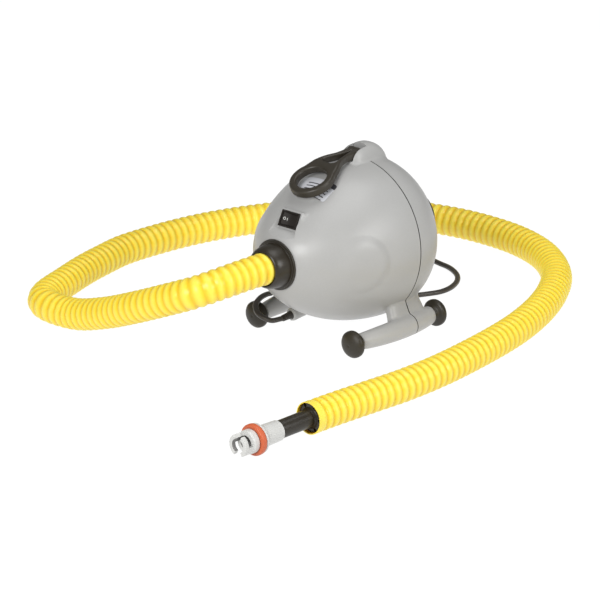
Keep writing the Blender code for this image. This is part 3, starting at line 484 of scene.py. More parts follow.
MATERIALS = {
    "shell": shell_plastic(),
    "hose": hose_plastic(),
    "label": label_film(),
    "dark": plastic("dark_plastic_fine", (0.016, 0.012, 0.006), 0.38, vary=0.14),
    "switch": plastic("switch_plastic", (0.013, 0.01, 0.008), 0.5, vary=0.12, specular=0.3),
    "handle": plastic("handle_plastic_fine", (0.028, 0.023, 0.015), 0.42, vary=0.1),
    "foot": plastic("foot_rubber_fine", (0.017, 0.013, 0.006), 0.44, 900.0, 0.00004, 0.18, 0.08),
    "cord": plastic("cord_rubber_fine", (0.042, 0.036, 0.03), 0.4, 700.0, 0.00003, 0.15, 0.08),
    "white": plastic("nozzle_plastic", (0.56, 0.56, 0.54), 0.36, vary=0.03),
    # grey: painted shade for the inside of the white nozzle's bore
    "grey": plastic("nozzle_bore_shade", (0.2, 0.195, 0.19), 0.45, vary=0.08),
    "gasket": plastic("gasket_rubber", (0.52, 0.105, 0.036), 0.48, 600.0, 0.00004, 0.1, 0.08),
    "mark": plastic("mark_ink", (0.55, 0.55, 0.53), 0.5, vary=0.05),
    "inner": plastic("inner_plastic_fine", (0.55, 0.55, 0.53), 0.45, vary=0.05),
    "carbon": plastic("carbon_block", (0.02, 0.02, 0.021), 0.7, 500.0, 0.00006, 0.2, 0.1),
    "steel": metal("steel_fine", (0.56, 0.56, 0.57)),
    "brass": metal("brass_fine", (0.66, 0.5, 0.22)),
    "copper": winding(),
    "foam": foam(),
}


def paint(obj, key):
    obj.data.materials.clear()
    obj.data.materials.append(MATERIALS[key])
    return obj


def finish_piece(obj, key, *nodes, body="housing"):
    """Paints a piece, ties it to its body and hides the CAD nodes it stands for."""
    paint(obj, key)
    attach(obj, body)
    if nodes:
        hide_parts(*nodes)
    return obj


# Camera, light and floor -----------------------------------


def add_camera():
    azimuth, elevation, distance = radians(42.0), radians(20.19), 5.03
    back = Vector((sin(azimuth) * cos(elevation), -cos(azimuth) * cos(elevation),
                   sin(elevation)))
    data = bpy.data.cameras.new("camera")
    data.sensor_width = 36.0
    data.lens = 248.6
    data.shift_x, data.shift_y = -0.0768, 0.0438
    data.clip_start, data.clip_end = 0.1, 50.0
    camera = bpy.data.objects.new("camera", data)
    camera.location = back * distance
    camera.rotation_euler = back.to_track_quat("Z", "Y").to_euler()
    bpy.context.scene.collection.objects.link(camera)
    bpy.context.scene.camera = camera


def add_light(name, place, target, size, power):
    data = bpy.data.lights.new(name, "AREA")
    data.shape = "RECTANGLE"
    data.size, data.size_y = size
    data.energy = power
    light = bpy.data.objects.new(name, data)
    light.location = place
    light.rotation_euler = (Vector(place) - Vector(target)).to_track_quat("Z", "Y").to_euler()
    bpy.context.scene.collection.objects.link(light)


def add_studio():
    scene = bpy.context.scene
    scene.view_settings.view_transform = "Standard"
    scene.view_settings.look = "None"
    world = bpy.data.worlds.new("studio")
    world.use_nodes = True
    background = world.node_tree.nodes["Background"].inputs
    background["Color"].default_value = (1.0, 1.0, 1.0, 1.0)
    background["Strength"].default_value = 0.24
    scene.world = world
    centre = (0, 0.02, 0.1)
    add_light("key", (0.75, -2.3, 1.45), centre, (1.1, 1.1), 51.0)
    add_light("top", (0.3, 0.3, 2.8), centre, (1.6, 1.6), 27.0)
    add_light("side", (2.6, 0.3, 1.3), centre, (0.9, 1.2), 30.0)
    bm = bmesh.new()
    bmesh.ops.create_grid(bm, x_segments=2, y_segments=2, size=9.0)
    floor = add_mesh("floor", bm)
    floor.data.materials.append(floor_surface())


# Tubes: hose and lead --------------------------------------


def catmull(a, b, c, d, t):
    return 0.5 * ((2 * b) + (c - a) * t + (2 * a - 5 * b + 4 * c - d) * t ** 2
                  + (3 * b - a - 3 * c + d) * t ** 3)


def smooth_route(points, spacing):
    """Points at even spacing on one smooth curve through a route's own points."""
    points = [Vector(p) for p in points]
    padded = [2 * points[0] - points[1]] + points + [2 * points[-1] - points[-2]]
    fine = [points[0]]
    for i in range(len(points) - 1):
        for k in range(1, 21):
            fine.append(catmull(*padded[i:i + 4], k / 20))
    return even(fine, spacing)


def even(fine, spacing):
    lengths = [0.0]
    for a, b in zip(fine, fine[1:]):
        lengths.append(lengths[-1] + (b - a).length)
    count = max(2, round(lengths[-1] / spacing))
    route, j = [], 0
    for i in range(count + 1):
        target = lengths[-1] * i / count
        while j < len(fine) - 2 and lengths[j + 1] < target:
            j += 1
        part = (target - lengths[j]) / (lengths[j + 1] - lengths[j])
        route.append(fine[j].lerp(fine[j + 1], part))
    return route


def route_length(points):
    return sum((b - a).length for a, b in zip(points, points[1:]))


def frames_along(points):
    """(tangent, side, up) at each point, with up kept as near +Z as it can be."""
    result = []
    side = None
    for i in range(len(points)):
        tangent = (points[min(i + 1, len(points) - 1)] - points[max(i - 1, 0)]).normalized()
        flat = Vector((0, 0, 1)).cross(tangent)
        if flat.length < 0.05 and side:
            flat = side - tangent * side.dot(tangent)
        side = flat.normalized()
        result.append((tangent, side, tangent.cross(side)))
    return result


def sweep(name, points, section, tone=None):
    """A closed tube along points; section(i) gives (side, up) offsets round it."""
    bm = bmesh.new()
    layer = bm.verts.layers.float.new("crest")
    rings = []
    for i, (point, (_, side, up)) in enumerate(zip(points, frames_along(points))):
        ring = []
        for a, b in section(i):
            vert = bm.verts.new(point + side * a + up * b)
            vert[layer] = tone(i) if tone else 0.0
            ring.append(vert)
        rings.append(ring)
    loft(bm, rings)
    return add_mesh(name, bm, 60)


def add_hose():
    """Ring-corrugated hose with a smooth cuff and a recessed mouth at its free end."""
    steps = 8
    around = 36
    start = Vector(HOSE_ROUTE[0]) + Vector((0.0004, 0.006, 0.0))
    points = smooth_route([start] + HOSE_ROUTE, HOSE_PITCH / steps)
    total = route_length(points)
    spacing = total / (len(points) - 1)

    # crest is 0 in a valley and 1 on a crest; it sets the radius and, through the hose material, the painted
    # shade and highlight.
    def crest(i):
        wave = 0.5 - 0.5 * cos(2 * pi * (i * spacing - 0.001) / HOSE_PITCH)
        left = total - i * spacing
        return wave ** 0.65 if left > 0.0075 else 0.9

    def section(i):
        radius = HOSE_R - 0.0004 - 0.0018 * (1 - crest(i))
        return circle(radius, around)

    hose = sweep("hose_corrugated", points, section, crest)
    end, before = points[-1], points[-2]
    mouth = turned("mouth", [(-0.01, 0), (-0.01, 0.0181), (0.004, 0.0181), (0.004, 0)],
                   segments=48, matrix=aimed(end, end - before))
    cut(hose, mouth)
    shade(hose, 60)
    finish_piece(hose, "hose", "hose")
    return hose


def sector(name, start, stop, low, high, place):
    """A wedge of a thick ring about Y, between two angles in degrees from X towards Z."""
    angles = [radians(start + (stop - start) * i / 16) for i in range(17)]
    outline = [(0.02 * cos(a), 0.02 * sin(a)) for a in angles]
    outline += [(0.005 * cos(a), 0.005 * sin(a)) for a in reversed(angles)]
    return prism(name, outline, low, high, place)


def prism(name, outline, low, high, place=None):
    """An (x, z) outline drawn out along Y."""
    bm = bmesh.new()
    rings = [[bm.verts.new((x, y, z)) for x, z in outline] for y in (low, high)]
    loft(bm, rings)
    if place:
        bm.transform(place)
    return add_mesh(name, bm, 20)


def rounded(corners, radius, count=4):
    """An outline whose corners are cut round, all by about the same radius."""
    points = []
    for i, corner in enumerate(corners):
        here, before, after = Vector(corner), Vector(corners[i - 1]), Vector(corners[(i + 1) % len(corners)])
        start = here + (before - here).normalized() * min(radius, (before - here).length * 0.45)
        stop = here + (after - here).normalized() * min(radius, (after - here).length * 0.45)
        for k in range(count + 1):
            t = k / count
            spot = start * (1 - t) ** 2 + here * 2 * t * (1 - t) + stop * t ** 2
            points.append(tuple(spot))
    return points


def add_nozzle():
    """The black tube in the hose's mouth, the white bayonet piece and its gasket."""
    end = Vector(HOSE_ROUTE[-1])
    place = Matrix.Translation(end) @ Matrix.Rotation(pi - NOZZLE_YAW, 4, "Z")
    place = place @ Matrix.Rotation(-NOZZLE_DROOP, 4, "X")
    start, flange, tip = COLLAR_START, FLANGE_START, NOZZLE_LENGTH
    low, high = flange + 0.003, flange + 0.0105
    corners = [(-0.007, 0.008), (-0.007, 0.0174), (-0.003, 0.0174), (-0.0026, 0.0128), (0.001, 0.0108),
               (start - 0.0003, 0.0106), (start - 0.0003, 0.008)]
    tube = turned("nozzle_tube_fine", rounded(corners, 0.0007), matrix=place)
    lobes = []
    for x, z in circle(0.015, 6):
        spot = place @ Matrix.Translation((x, 0, z))
        lobes.append(turned("lobe", [(-0.009, 0), (-0.009, 0.0022), (-0.002, 0.0022), (-0.002, 0)],
                            segments=20, matrix=spot))
    cut(tube, joined(*lobes))
    shade(tube, 40)
    finish_piece(tube, "dark", "nozzle_tube")
    corners = [(start, NOZZLE_BORE_R), (start, 0.0121), (flange - 0.001, 0.013), (flange, 0.0178),
               (flange + 0.0027, 0.0178), (flange + 0.0027, 0.0125), (high + 0.0003, 0.0125),
               (high + 0.0003, 0.0142), (tip - SLOT_DEPTH - 0.002, 0.0142),
               (tip - SLOT_DEPTH - 0.001, 0.0134), (tip, 0.0134), (tip, NOZZLE_BORE_R)]
    nozzle = turned("bayonet_fine", rounded(corners, 0.0007), segments=72, matrix=place)
    bottom = tip - SLOT_DEPTH
    for turn in (0, 180):
        cut(nozzle, sector("entry", 60 + turn, 118 + turn, bottom, tip + 0.01, place),
            sector("catch", 100 + turn, 188 + turn, bottom, tip - LIP_LENGTH, place))
    bevelled(nozzle, 0.0005, 3, 40)
    finish_piece(nozzle, "white", "bayonet_nozzle")
    # The bore faces get the grey material: painted shade inside the white piece's bore.
    nozzle.data.materials.append(MATERIALS["grey"])
    back = place.inverted()
    for face in nozzle.data.polygons:
        spot = back @ face.center
        if hypot(spot.x, spot.z) < NOZZLE_BORE_R + 0.0002:
            face.material_index = 1
    corners = [(low, 0.0128), (low, 0.0186), (high, 0.0186), (high, 0.0128)]
    gasket = turned("gasket_fine", rounded(corners, 0.0024, 6), matrix=place, segments=72)
    finish_piece(gasket, "gasket", "nozzle_gasket")
    return [tube, nozzle, gasket]


def coil_route():
    """Six turns wound flat in two layers, from the lead's run-in to its run-out."""
    radii = [COIL_MID_R + CORD_D, COIL_MID_R, COIL_MID_R - CORD_D]
    radii += list(reversed(radii))
    heights = [0.0003 + CORD_D * 0.5] * 3 + [0.0003 + CORD_D * 1.5] * 3
    per_turn = 28
    points = []
    for turn in range(6):
        for k in range(per_turn):
            t = k / per_turn
            blend = smoothstep((t - 0.86) / 0.14) if turn < 5 else 0.0
            after = min(turn + 1, 5)
            radius = radii[turn] + (radii[after] - radii[turn]) * blend
            height = heights[turn] + (heights[after] - heights[turn]) * blend
            angle = pi - 2 * pi * t
            points.append(Vector((COIL_CENTRE[0] + radius * cos(angle),
                                  COIL_CENTRE[1] + radius * sin(angle), height)))
    points.append(Vector((COIL_CENTRE[0] - radii[5], COIL_CENTRE[1], heights[5])))
    return points


def add_lead():
    front = smooth_route(CORD_FRONT_ROUTE, 0.017)
    rear = smooth_route(CORD_REAR_ROUTE, 0.017)
    path = front + coil_route() + rear
    fine = smooth_route(path, 0.0024)
    around = 16
    shape = []
    for k in range(around):
        angle = 2 * pi * k / around
        dent = 0.00055 * max(0.0, cos(2 * angle + pi)) ** 3
        radius = CORD_D / 2 - dent
        shape.append((radius * cos(angle), radius * 0.94 * sin(angle)))
    lead = sweep("mains_lead", fine, lambda i: shape)
    finish_piece(lead, "cord", "power_cord_front", "power_cord_coil", "power_cord_rear")
    return lead, path


def add_strain_relief():
    start, end = Vector((-0.0299, -0.05, 0.0266)), Vector((-0.0305, -0.08, 0.0246))
    profile = [(0, 0), (0, 0.0049), (0.0155, 0.0049), (0.0162, 0.0047)]
    for k in range(5):
        y = 0.0172 + 0.0026 * k
        r = 0.0046 - 0.00016 * k
        profile += [(y, r), (y + 0.0009, r), (y + 0.0011, r - 0.0005), (y + 0.002, r - 0.0005)]
    profile += [(0.03, 0.0039), (0.03, 0)]
    relief = turned("strain_relief_fine", profile, segments=32, matrix=aimed(start, end - start))
    return finish_piece(relief, "cord", "cord_strain_relief")


def add_plug():
    heading = Matrix.Translation(PLUG_START) @ Matrix.Rotation(pi / 2, 4, "Z")
    cone = turned("plug_fine", [(0, 0), (0, 0.0037), (0.022, 0.0055), (0.026, 0.0055), (0.026, 0)],
                  segments=32, matrix=heading)
    bm = bmesh.new()
    outline = [(-0.0065, 0.0), (0.0065, 0.0), (0.0104, 0.007), (0.0128, 0.013), (0.013, 0.02),
               (0.0126, 0.029), (0.013, 0.036), (-0.013, 0.036), (-0.0126, 0.029),
               (-0.013, 0.02), (-0.0128, 0.013), (-0.0104, 0.007)]
    rings = [[bm.verts.new((x, y + 0.02, z)) for x, y in outline] for z in (-0.0065, 0.0065)]
    loft(bm, rings)
    bm.transform(heading)
    block = bevelled(add_mesh("block", bm), 0.0022, 4, 25)
    plug = boolean(cone, "UNION", block)
    shade(plug, 50)
    finish_piece(plug, "cord", "plug_body")
    pins = []
    for side, name in ((-1, "left"), (1, "right")):
        offset = side * 0.0093
        profile = [(0.0563, 0), (0.0563, 0.0024), (0.0735, 0.0024)] + [
            (0.0735 + 0.0018 * sin(a), 0.0006 + 0.0018 * cos(a))
            for a in (0.3, 0.7, 1.1, 1.5)] + [(0.0753, 0)]
        pin = turned(f"plug_pin_{name}_fine", profile, segments=24,
                     matrix=heading @ Matrix.Translation((offset, 0, 0)))
        pins.append(finish_piece(pin, "steel", f"plug_pin_{name}"))
    return [plug] + pins


def add_tie():
    half = 1.5 * CORD_D
    top = 0.0003 + 2 * CORD_D
    inner, high, thick = half + 0.001, top + 0.0003, 0.0012
    outline = [(-inner, 0.0006), (-inner, high), (inner, high), (inner, 0.0006), (inner + thick, 0.0006),
               (inner + thick, high + thick), (-inner - thick, high + thick), (-inner - thick, 0.0006)]
    place = Matrix.Translation((COIL_CENTRE[0] + COIL_MID_R, COIL_CENTRE[1], 0))
    tie = bevelled(prism("tie_fine", outline, -0.005, 0.005, place), 0.0004)
    return finish_piece(tie, "dark", "cord_tie")


def add_cords():
    hose = add_hose()
    bell = add_bell()
    on_hose = add_nozzle()
    length = route_length(smooth_route(HOSE_ROUTE, 0.02))
    smooth_route(HOSE_ROUTE, 0.05)
    lead, path = add_lead()
    relief = add_strain_relief()
    on_lead = add_plug() + [add_tie(), relief]


# Housing ---------------------------------------------------


def egg_radius(y, shrink=0.0):
    reach = y - EGG_Y
    length = (NOSE_LENGTH if reach < 0 else TAIL_LENGTH) - shrink
    power = NOSE_POWER if reach < 0 else TAIL_POWER
    rest = 1 - min(abs(reach) / length, 1) ** power
    return (EGG_R - shrink) * rest ** (1 / power)


def axis_height(y):
    return AXIS_Z + AXIS_RISE * (EGG_Y - y)


def front_share(y):
    return smoothstep((FLAT_START_Y - y) / FLAT_REACH)


def top_factor(y):
    back = 1 - 0.6 * smoothstep((-0.104 - y) / 0.019)
    return 1 - FLAT_TOP * front_share(y) * back


def cheek_lift(x, y, z):
    away = ((y - CHEEK_Y) / CHEEK_HALF_Y) ** 2 + ((z - CHEEK_Z) / CHEEK_HALF_Z) ** 2
    if away >= 1 or abs(x) < 0.03:
        return 0.0
    return CHEEK_HEIGHT * smoothstep(1.5 * (1 - away))


def on_egg(y, angle, shrink=0.0):
    radius = egg_radius(y, shrink)
    x = radius * cos(angle) * (1 + WIDE * front_share(y))
    z = radius * sin(angle)
    z = z * top_factor(y) if z > 0 else z
    z += axis_height(y)
    if not shrink:
        x += copysign(cheek_lift(x, y, z), x)
    return Vector((x, y, z))


def egg(name, first, last, shrink=0.0, stations=90, segments=128):
    bm = bmesh.new()
    places = []
    for i in range(stations + 1):
        angle = -pi / 2 + pi * i / stations
        length = (NOSE_LENGTH if angle < 0 else TAIL_LENGTH) - shrink
        y = EGG_Y + length * sin(angle)
        if first + 0.0008 < y < last - 0.0008:
            places.append(y)
    rings = []
    for y in [first] + places + [last]:
        rings.append([bm.verts.new(on_egg(y, 2 * pi * k / segments, shrink)) for k in range(segments)])
    loft(bm, rings)
    return add_mesh(name, bm)


def skid_offset(y):
    return SKID_X + SKID_BOW * (1 - (y / SKID_END_Y) ** 2)


def skid_radius(y):
    t = y / SKID_END_Y
    end = SKID_R_FRONT if t < 0.25 else SKID_R_REAR
    blend = max(0.0, 1 - ((t - 0.25) / (1.25 if t < 0.25 else 0.75)) ** 2)
    return end + (SKID_R_MIDDLE - end) * blend


def skid(side):
    bm = bmesh.new()
    rings = []
    for i in range(41):
        y = -SKID_END_Y + 2 * SKID_END_Y * i / 40
        ring = make_ring(bm, y, skid_radius(y), 40)
        for vert in ring:
            vert.co.x += side * skid_offset(y)
            vert.co.z += SKID_Z
        rings.append(ring)
    loft(bm, rings)
    return add_mesh("skid", bm)


def leg(side):
    bm = bmesh.new()
    rings = []
    for k in range(25):
        t = k / 24
        ring = []
        for i in range(48):
            angle = 2 * pi * (i + 0.5) / 48
            x = 0.0815 - 0.024 * t + 0.0085 * signed_power(cos(angle), 0.5)
            y = 0.024 + (0.025 + 0.009 * (1 - t) ** 2) * signed_power(sin(angle), 0.5)
            ring.append(bm.verts.new((side * x, y, 0.014 + 0.052 * t)))
        rings.append(ring)
    loft(bm, rings)
    return add_mesh("leg", bm)


def hood():
    bm = bmesh.new()
    rings = []
    levels, around = 22, 72
    for k in range(levels):
        lift = pi / 2 * k / levels
        ring = []
        for i in range(around):
            angle = 2 * pi * i / around
            side, along = cos(angle), sin(angle)
            power = 2 / (2.45 - 0.55 * along)
            reach = 0.0325 if along < 0 else 0.036
            flat = cos(lift) ** power
            ring.append(bm.verts.new((0.0185 * signed_power(side, 2 / 2.8) * flat,
                                      HOOD_Y + reach * signed_power(along, 2 / 2.8) * flat,
                                      HOOD_Z + HOOD_HEIGHT * sin(lift) ** power)))
        rings.append(ring)
    for a, b in zip(rings, rings[1:]):
        bridge(bm, a, b)
    bridge(bm, rings[-1], [bm.verts.new((0, HOOD_Y, HOOD_Z + HOOD_HEIGHT))])
    bm.faces.new(rings[0])
    return add_mesh("hood", bm)


def switch_matrix():
    slope = Vector((0, cos(SWITCH_SLOPE), sin(SWITCH_SLOPE)))
    out = Vector((0, -sin(SWITCH_SLOPE), cos(SWITCH_SLOPE)))
    columns = Matrix((Vector((1, 0, 0)), slope, out)).transposed().to_4x4()
    return Matrix.Translation((0, SWITCH_Y, SWITCH_Z)) @ columns


def switch_box(name, half_x, half_t, low, high, up=0.0):
    """A block square to the switch's face; up moves it along the slope."""
    return add_box(name, (-half_x, up - half_t, low), (half_x, up + half_t, high), switch_matrix())


def screw_spots():
    angle = radians(-60)
    reach = EGG_R - 0.0075
    return [(side * reach * cos(angle), AXIS_Z + reach * sin(angle)) for side in (1, -1)]


def junction_weight(co):
    """1 where a leg, the hood, the switch seat or the gland meets the housing, else 0."""
    x, y, z = co
    leg_part = smoothstep((0.086 - z) / 0.014) * smoothstep((abs(x) - 0.04) / 0.012)
    leg_part *= smoothstep((y + 0.03) / 0.014) * smoothstep((0.082 - y) / 0.014)
    hood_part = smoothstep((z - 0.186) / 0.006) * smoothstep((0.03 - abs(x)) / 0.006)
    hood_part *= smoothstep((y + 0.014) / 0.006) * smoothstep((0.078 - y) / 0.006)
    away = switch_matrix().inverted() @ Vector(co)
    seat = smoothstep((0.026 - abs(away.x)) / 0.005) * smoothstep((0.024 - abs(away.y)) / 0.005)
    seat *= 1.0 if abs(away.z) < 0.03 else 0.0
    gland = smoothstep((0.016 - abs(x + 0.03)) / 0.004) * smoothstep((-0.012 - y) / 0.006)
    gland *= smoothstep((0.046 - z) / 0.006)
    return max(leg_part, hood_part, seat, gland)


def fused_body():
    """Egg, legs, skids, hood, switch seat and gland grown into one skin with soft corners."""
    parts = [egg("body", NOSE_Y, EGG_Y + TAIL_LENGTH - 0.0015)]
    for side in (1, -1):
        parts += [skid(side), leg(side)]
    parts.append(hood())
    parts.append(switch_box("seat", 0.0178, 0.0142, -0.006, 0.0, -0.0015))
    parts.append(rod("gland", (-0.0305, -0.066, 0.025), (-0.029, -0.025, 0.029), 0.0082))
    body = joined(*parts)
    remesh(body, 0.0013)
    bm = bmesh.new()
    bm.from_mesh(body.data)
    verts = list(bm.verts)
    weights = [junction_weight(v.co) for v in verts]
    relax(bm, [v for v, w in zip(verts, weights) if w > 0.3], 8)
    lower = [v for v in verts if abs(v.co.x) > 0.06 and v.co.z < 0.034 and abs(v.co.y) < 0.0625]
    relax(bm, lower, 5)
    for vert, weight in zip(verts, weights):
        snap_to_egg(vert, weight)
    bm.to_mesh(body.data)
    bm.free()
    return body


def snap_to_egg(vert, weight):
    """Puts a remeshed point back on the exact egg, less so near a junction."""
    x, y, z = vert.co
    if y < NOSE_Y + 0.0006 or y > EGG_Y + TAIL_LENGTH - 0.0022 or weight >= 1:
        return
    side = x - copysign(cheek_lift(x, y, z), x)
    across = side / (1 + WIDE * front_share(y))
    up = z - axis_height(y)
    factor = top_factor(y) if up > 0 else 1.0
    up /= factor
    radius = hypot(across, up)
    target = egg_radius(y)
    if radius < 1e-6 or abs(radius - target) > 0.0028:
        return
    scale = 1 + (target / radius - 1) * (1 - weight)
    new_x = across * scale * (1 + WIDE * front_share(y))
    new_z = axis_height(y) + up * scale * factor
    vert.co.x = new_x + copysign(cheek_lift(new_x, y, new_z), new_x)
    vert.co.z = new_z


def cut_at(obj, keep_front):
    """Keeps the part in front of or behind the seam and closes it there."""
    bm = bmesh.new()
    bm.from_mesh(obj.data)
    plane = SEAM_Y - 0.0005 if keep_front else SEAM_Y + 0.0005
    bmesh.ops.bisect_plane(bm, geom=bm.verts[:] + bm.edges[:] + bm.faces[:], plane_co=(0, plane, 0),
                           plane_no=(0, 1, 0), clear_outer=keep_front, clear_inner=not keep_front)
    rim = [e for e in bm.edges if e.is_boundary]
    bmesh.ops.holes_fill(bm, edges=rim)
    bmesh.ops.triangulate(bm, faces=[f for f in bm.faces if len(f.verts) > 8])
    bm.to_mesh(obj.data)
    bm.free()
    return obj


def duplicate(obj, name):
    twin = bpy.data.objects.new(name, obj.data.copy())
    bpy.context.scene.collection.objects.link(twin)
    return twin


def stem_holes(low, high):
    return [rod("stem", (x, low, SKID_Z), (x, high, SKID_Z), STEM_HOLE_R) for x in (SKID_X, -SKID_X)]


def add_shells():
    body = fused_body()
    front = cut_at(duplicate(body, "shell_front_fine"), True)
    rear = cut_at(duplicate(body, "shell_rear_fine"), False)
    tongue = add_box("tongue", (-0.0192, -0.0042, 0.16), (0.0192, SEAM_Y + 0.003, 0.24))
    boolean(tongue, "INTERSECT", body)
    boolean(rear, "UNION", tongue)
    axis = (0, 0, axis_height(NOSE_Y))
    cut(front, egg("core", NOSE_Y + WALL, EGG_Y + 0.03, WALL, 50, 80))
    sunk = switch_box("sunk_walls", 0.021, 0.014, -0.0034, 0.012, -0.0083)
    boolean(sunk, "INTERSECT", egg("limit", NOSE_Y, -0.05, 0.0003))
    boolean(front, "UNION", sunk)
    tools = [turned("cut", [(-0.16, 0), (-0.16, 0.0235), (-0.1, 0.0235), (-0.1, 0)], centre=axis),
             add_box("notch", (-0.0195, -0.0045, 0.15), (0.0195, 0.05, 0.25)),
             recess(),
             rod("gland_cut", (-0.0305, -0.07, 0.025), (-0.029, -0.02, 0.029), 0.0053)]
    tools += stem_holes(-0.08, -0.054)
    cut(front, joined(*tools))
    cut(front, switch_box("opening", 0.0138, 0.01, -0.02, 0.01))
    tools = [rod("port", (0, 0.07, AXIS_Z), (0, 0.12, AXIS_Z), 0.0285, 64),
             add_box("slot", (-0.01, -0.02, 0.2114), (0.01, 0.0255, 0.25))]
    tools += stem_holes(0.054, 0.08)
    for x, z in screw_spots():
        tools.append(rod("head", (x, 0.036, z), (x, 0.09, z), 0.0038))
    core = egg("core", -0.05, EGG_Y + TAIL_LENGTH - 0.0045, WALL, 50, 80)
    cut(rear, core, joined(*tools),
            rod("pin", (-0.013, PIN_Y, PIN_Z), (0.013, PIN_Y, PIN_Z), 0.0028))
    for x, z in screw_spots():
        boolean(rear, "UNION", tube_post("boss", x, z, SEAM_Y + 0.0002, 0.052, 0.0055, 0.0039))
        boolean(front, "UNION", tube_post("boss", x, z, 0.004, SEAM_Y - 0.0002, 0.005, 0.0021))
    for shell, node in ((front, "front_shell"), (rear, "rear_shell")):
        shade(shell, 35)
        finish_piece(shell, "shell", node)


def recess():
    """The switch's recess: a flat floor and walls that lean out, most of all at its foot."""
    floor = [(-0.0153, -0.0122), (0.0153, -0.0122), (0.0153, 0.0106), (-0.0153, 0.0106)]
    rim = [(-0.024, -0.024), (0.024, -0.024), (0.0172, 0.0112), (-0.0172, 0.0112)]
    bm = bmesh.new()
    levels = ((floor, -0.0001), (rim, 0.011))
    loft(bm, [[bm.verts.new((x, t, z)) for x, t in outline] for outline, z in levels])
    bm.transform(switch_matrix())
    return add_mesh("pocket", bm, 20)


def tube_post(name, x, z, low, high, outer, inner):
    profile = [(low, inner), (low, outer), (high, outer), (high, inner)]
    return turned(name, profile, centre=(x, 0, z), segments=32)


# Pieces on the housing -------------------------------------


def add_feet():
    profile = [(-0.0555, 0), (-0.0555, 0.0047), (-0.056, 0.005), (-0.0648, 0.005), (-0.0648, 0.0088),
               (-0.0672, 0.0089), (-0.0688, 0.0096), (-0.0698, 0.0115), (-0.0706, 0.014),
               (-0.0714, 0.0158), (-0.0724, 0.01655), (-0.0735, FOOT_R), (-0.0755, FOOT_R),
               (-0.0768, 0.01645), (-0.0782, 0.0155), (-0.0797, 0.0138), (-0.0809, 0.0116),
               (-0.0819, 0.009), (-0.0826, 0.0062), (-0.08305, 0.0034), (-0.0832, 0.0017),
               (-0.0829, 0.0011), (-0.0824, 0.0)]
    for end, end_name in ((1, "front"), (-1, "rear")):
        for side, side_name in ((-1, "left"), (1, "right")):
            name = f"foot_{end_name}_{side_name}"
            foot = turned(name + "_fine", [(end * y, r) for y, r in profile],
                          centre=(side * SKID_X, 0, SKID_Z), segments=72, smooth=50)
            finish_piece(foot, "foot", name)


def add_bell():
    centre = (0, 0, axis_height(NOSE_Y))
    face = NOSE_Y - 0.0003
    ring = turned("nose_ring_fine", [(face, 0.0236), (face, 0.031), (face - 0.0004, 0.0312),
                                     (-0.1248, 0.0312), (-0.1253, 0.0309), (-0.1255, 0.0304),
                                     (-0.1255, 0.0236)], centre, 96)
    finish_piece(ring, "dark", "outlet_ring")
    dome = [(-0.1268 - 0.0208 * sin(a), 0.0209 + 0.0061 * cos(a))
            for a in (pi / 2 * i / 14 for i in range(15))]
    profile = [(-0.112, 0.0232), (-0.1258, 0.0232), (-0.1258, 0.029), (-0.1265, 0.029),
               (-0.1268, 0.0286)] + dome + [
        (-0.1472, 0.0206), (-0.1392, 0.0206), (-0.1392, 0.018), (-0.112, 0.018)]
    bell = turned("bell_fine", profile, centre, 96, smooth=40)
    return finish_piece(bell, "dark", "outlet_bell")


def add_intake():
    profile = [(0.088, 0.0282), (0.0988, 0.0282), (0.0988, 0.0346), (0.0992, 0.035), (0.118, 0.0345),
               (0.1235, 0.0341), (0.125, 0.0336), (0.1255, 0.0327), (0.1255, 0.0212), (0.125, 0.0206),
               (0.1068, 0.0206), (0.1068, 0.0256), (0.088, 0.0256)]
    port = turned("rear_port_fine", profile, segments=96)
    finish_piece(port, "dark", "rear_port")
    grille = rod("grille_fine", (0, 0.1035, AXIS_Z), (0, 0.1065, AXIS_Z), 0.0253, 64)
    holes = []
    for ring, count in ((0.0, 1), (0.0058, 6), (0.0116, 12), (0.0172, 18)):
        for i in range(count):
            angle = 2 * pi * (i + 0.5 * (count == 12)) / count
            x, z = ring * cos(angle), AXIS_Z + ring * sin(angle)
            holes.append(rod("hole", (x, 0.1, z), (x, 0.11, z), 0.0022, 12))
    cut(grille, joined(*holes))
    shade(grille, 30)
    finish_piece(grille, "dark", "intake_grille")


def rocker_top(x):
    """Height of the rocker's hollow top at a distance from its pivot."""
    return 0.0041 + 0.0013 * (abs(x) / 0.0103) ** 1.3


def add_switch():
    frame_part = switch_box("switch_fine", 0.0139, 0.01, 0.0003, 0.0022)
    boolean(frame_part, "UNION", switch_box("can", 0.0134, 0.0096, -0.016, 0.001))
    cut(frame_part, switch_box("well", 0.0117, 0.0078, -0.0135, 0.01))
    bevelled(frame_part, 0.0005, 3)
    finish_piece(frame_part, "switch", "switch_housing")
    top = [(x, rocker_top(x)) for x in (-0.0103 + 0.0206 * i / 20 for i in range(21))]
    outline = top + [(0.0103, 0.0012), (0.004, -0.0038), (-0.004, -0.0038), (-0.0103, 0.0012)]
    rocker = bevelled(prism("rocker_fine", outline, -0.0074, 0.0074), 0.0005, 3, 25)
    place = switch_matrix() @ Matrix.Translation((0, 0, -0.0032)) @ Matrix.Rotation(ROCKER_TILT, 4, "Y")
    rocker.data.transform(place)
    shade(rocker, 40)
    finish_piece(rocker, "switch", "switch_rocker", body="rocker")
    ring = turned("mark_circle", [(-0.0001, 0.0011), (-0.0001, 0.0017), (0.00012, 0.0017), (0.00012, 0.0011)],
                  segments=32, matrix=Matrix.Rotation(pi / 2, 4, "X"))
    bar = add_box("mark_bar", (-0.0003, -0.0017, -0.0001), (0.0003, 0.0017, 0.00012))
    for mark, x in ((ring, -0.0068), (bar, -0.003)):
        lean = atan2(0.0013 * 1.3 * (abs(x) / 0.0103) ** 0.3 / 0.0103, 1)
        mark.data.transform(place @ Matrix.Translation((x, 0, rocker_top(x))) @ Matrix.Rotation(lean, 4, "Y"))
        finish_piece(mark, "mark", body="rocker")


def handle_slope(reach):
    return ARM_SLOPE + (RING_SLOPE - ARM_SLOPE) * smoothstep((reach - BEND_START) / BEND_REACH)


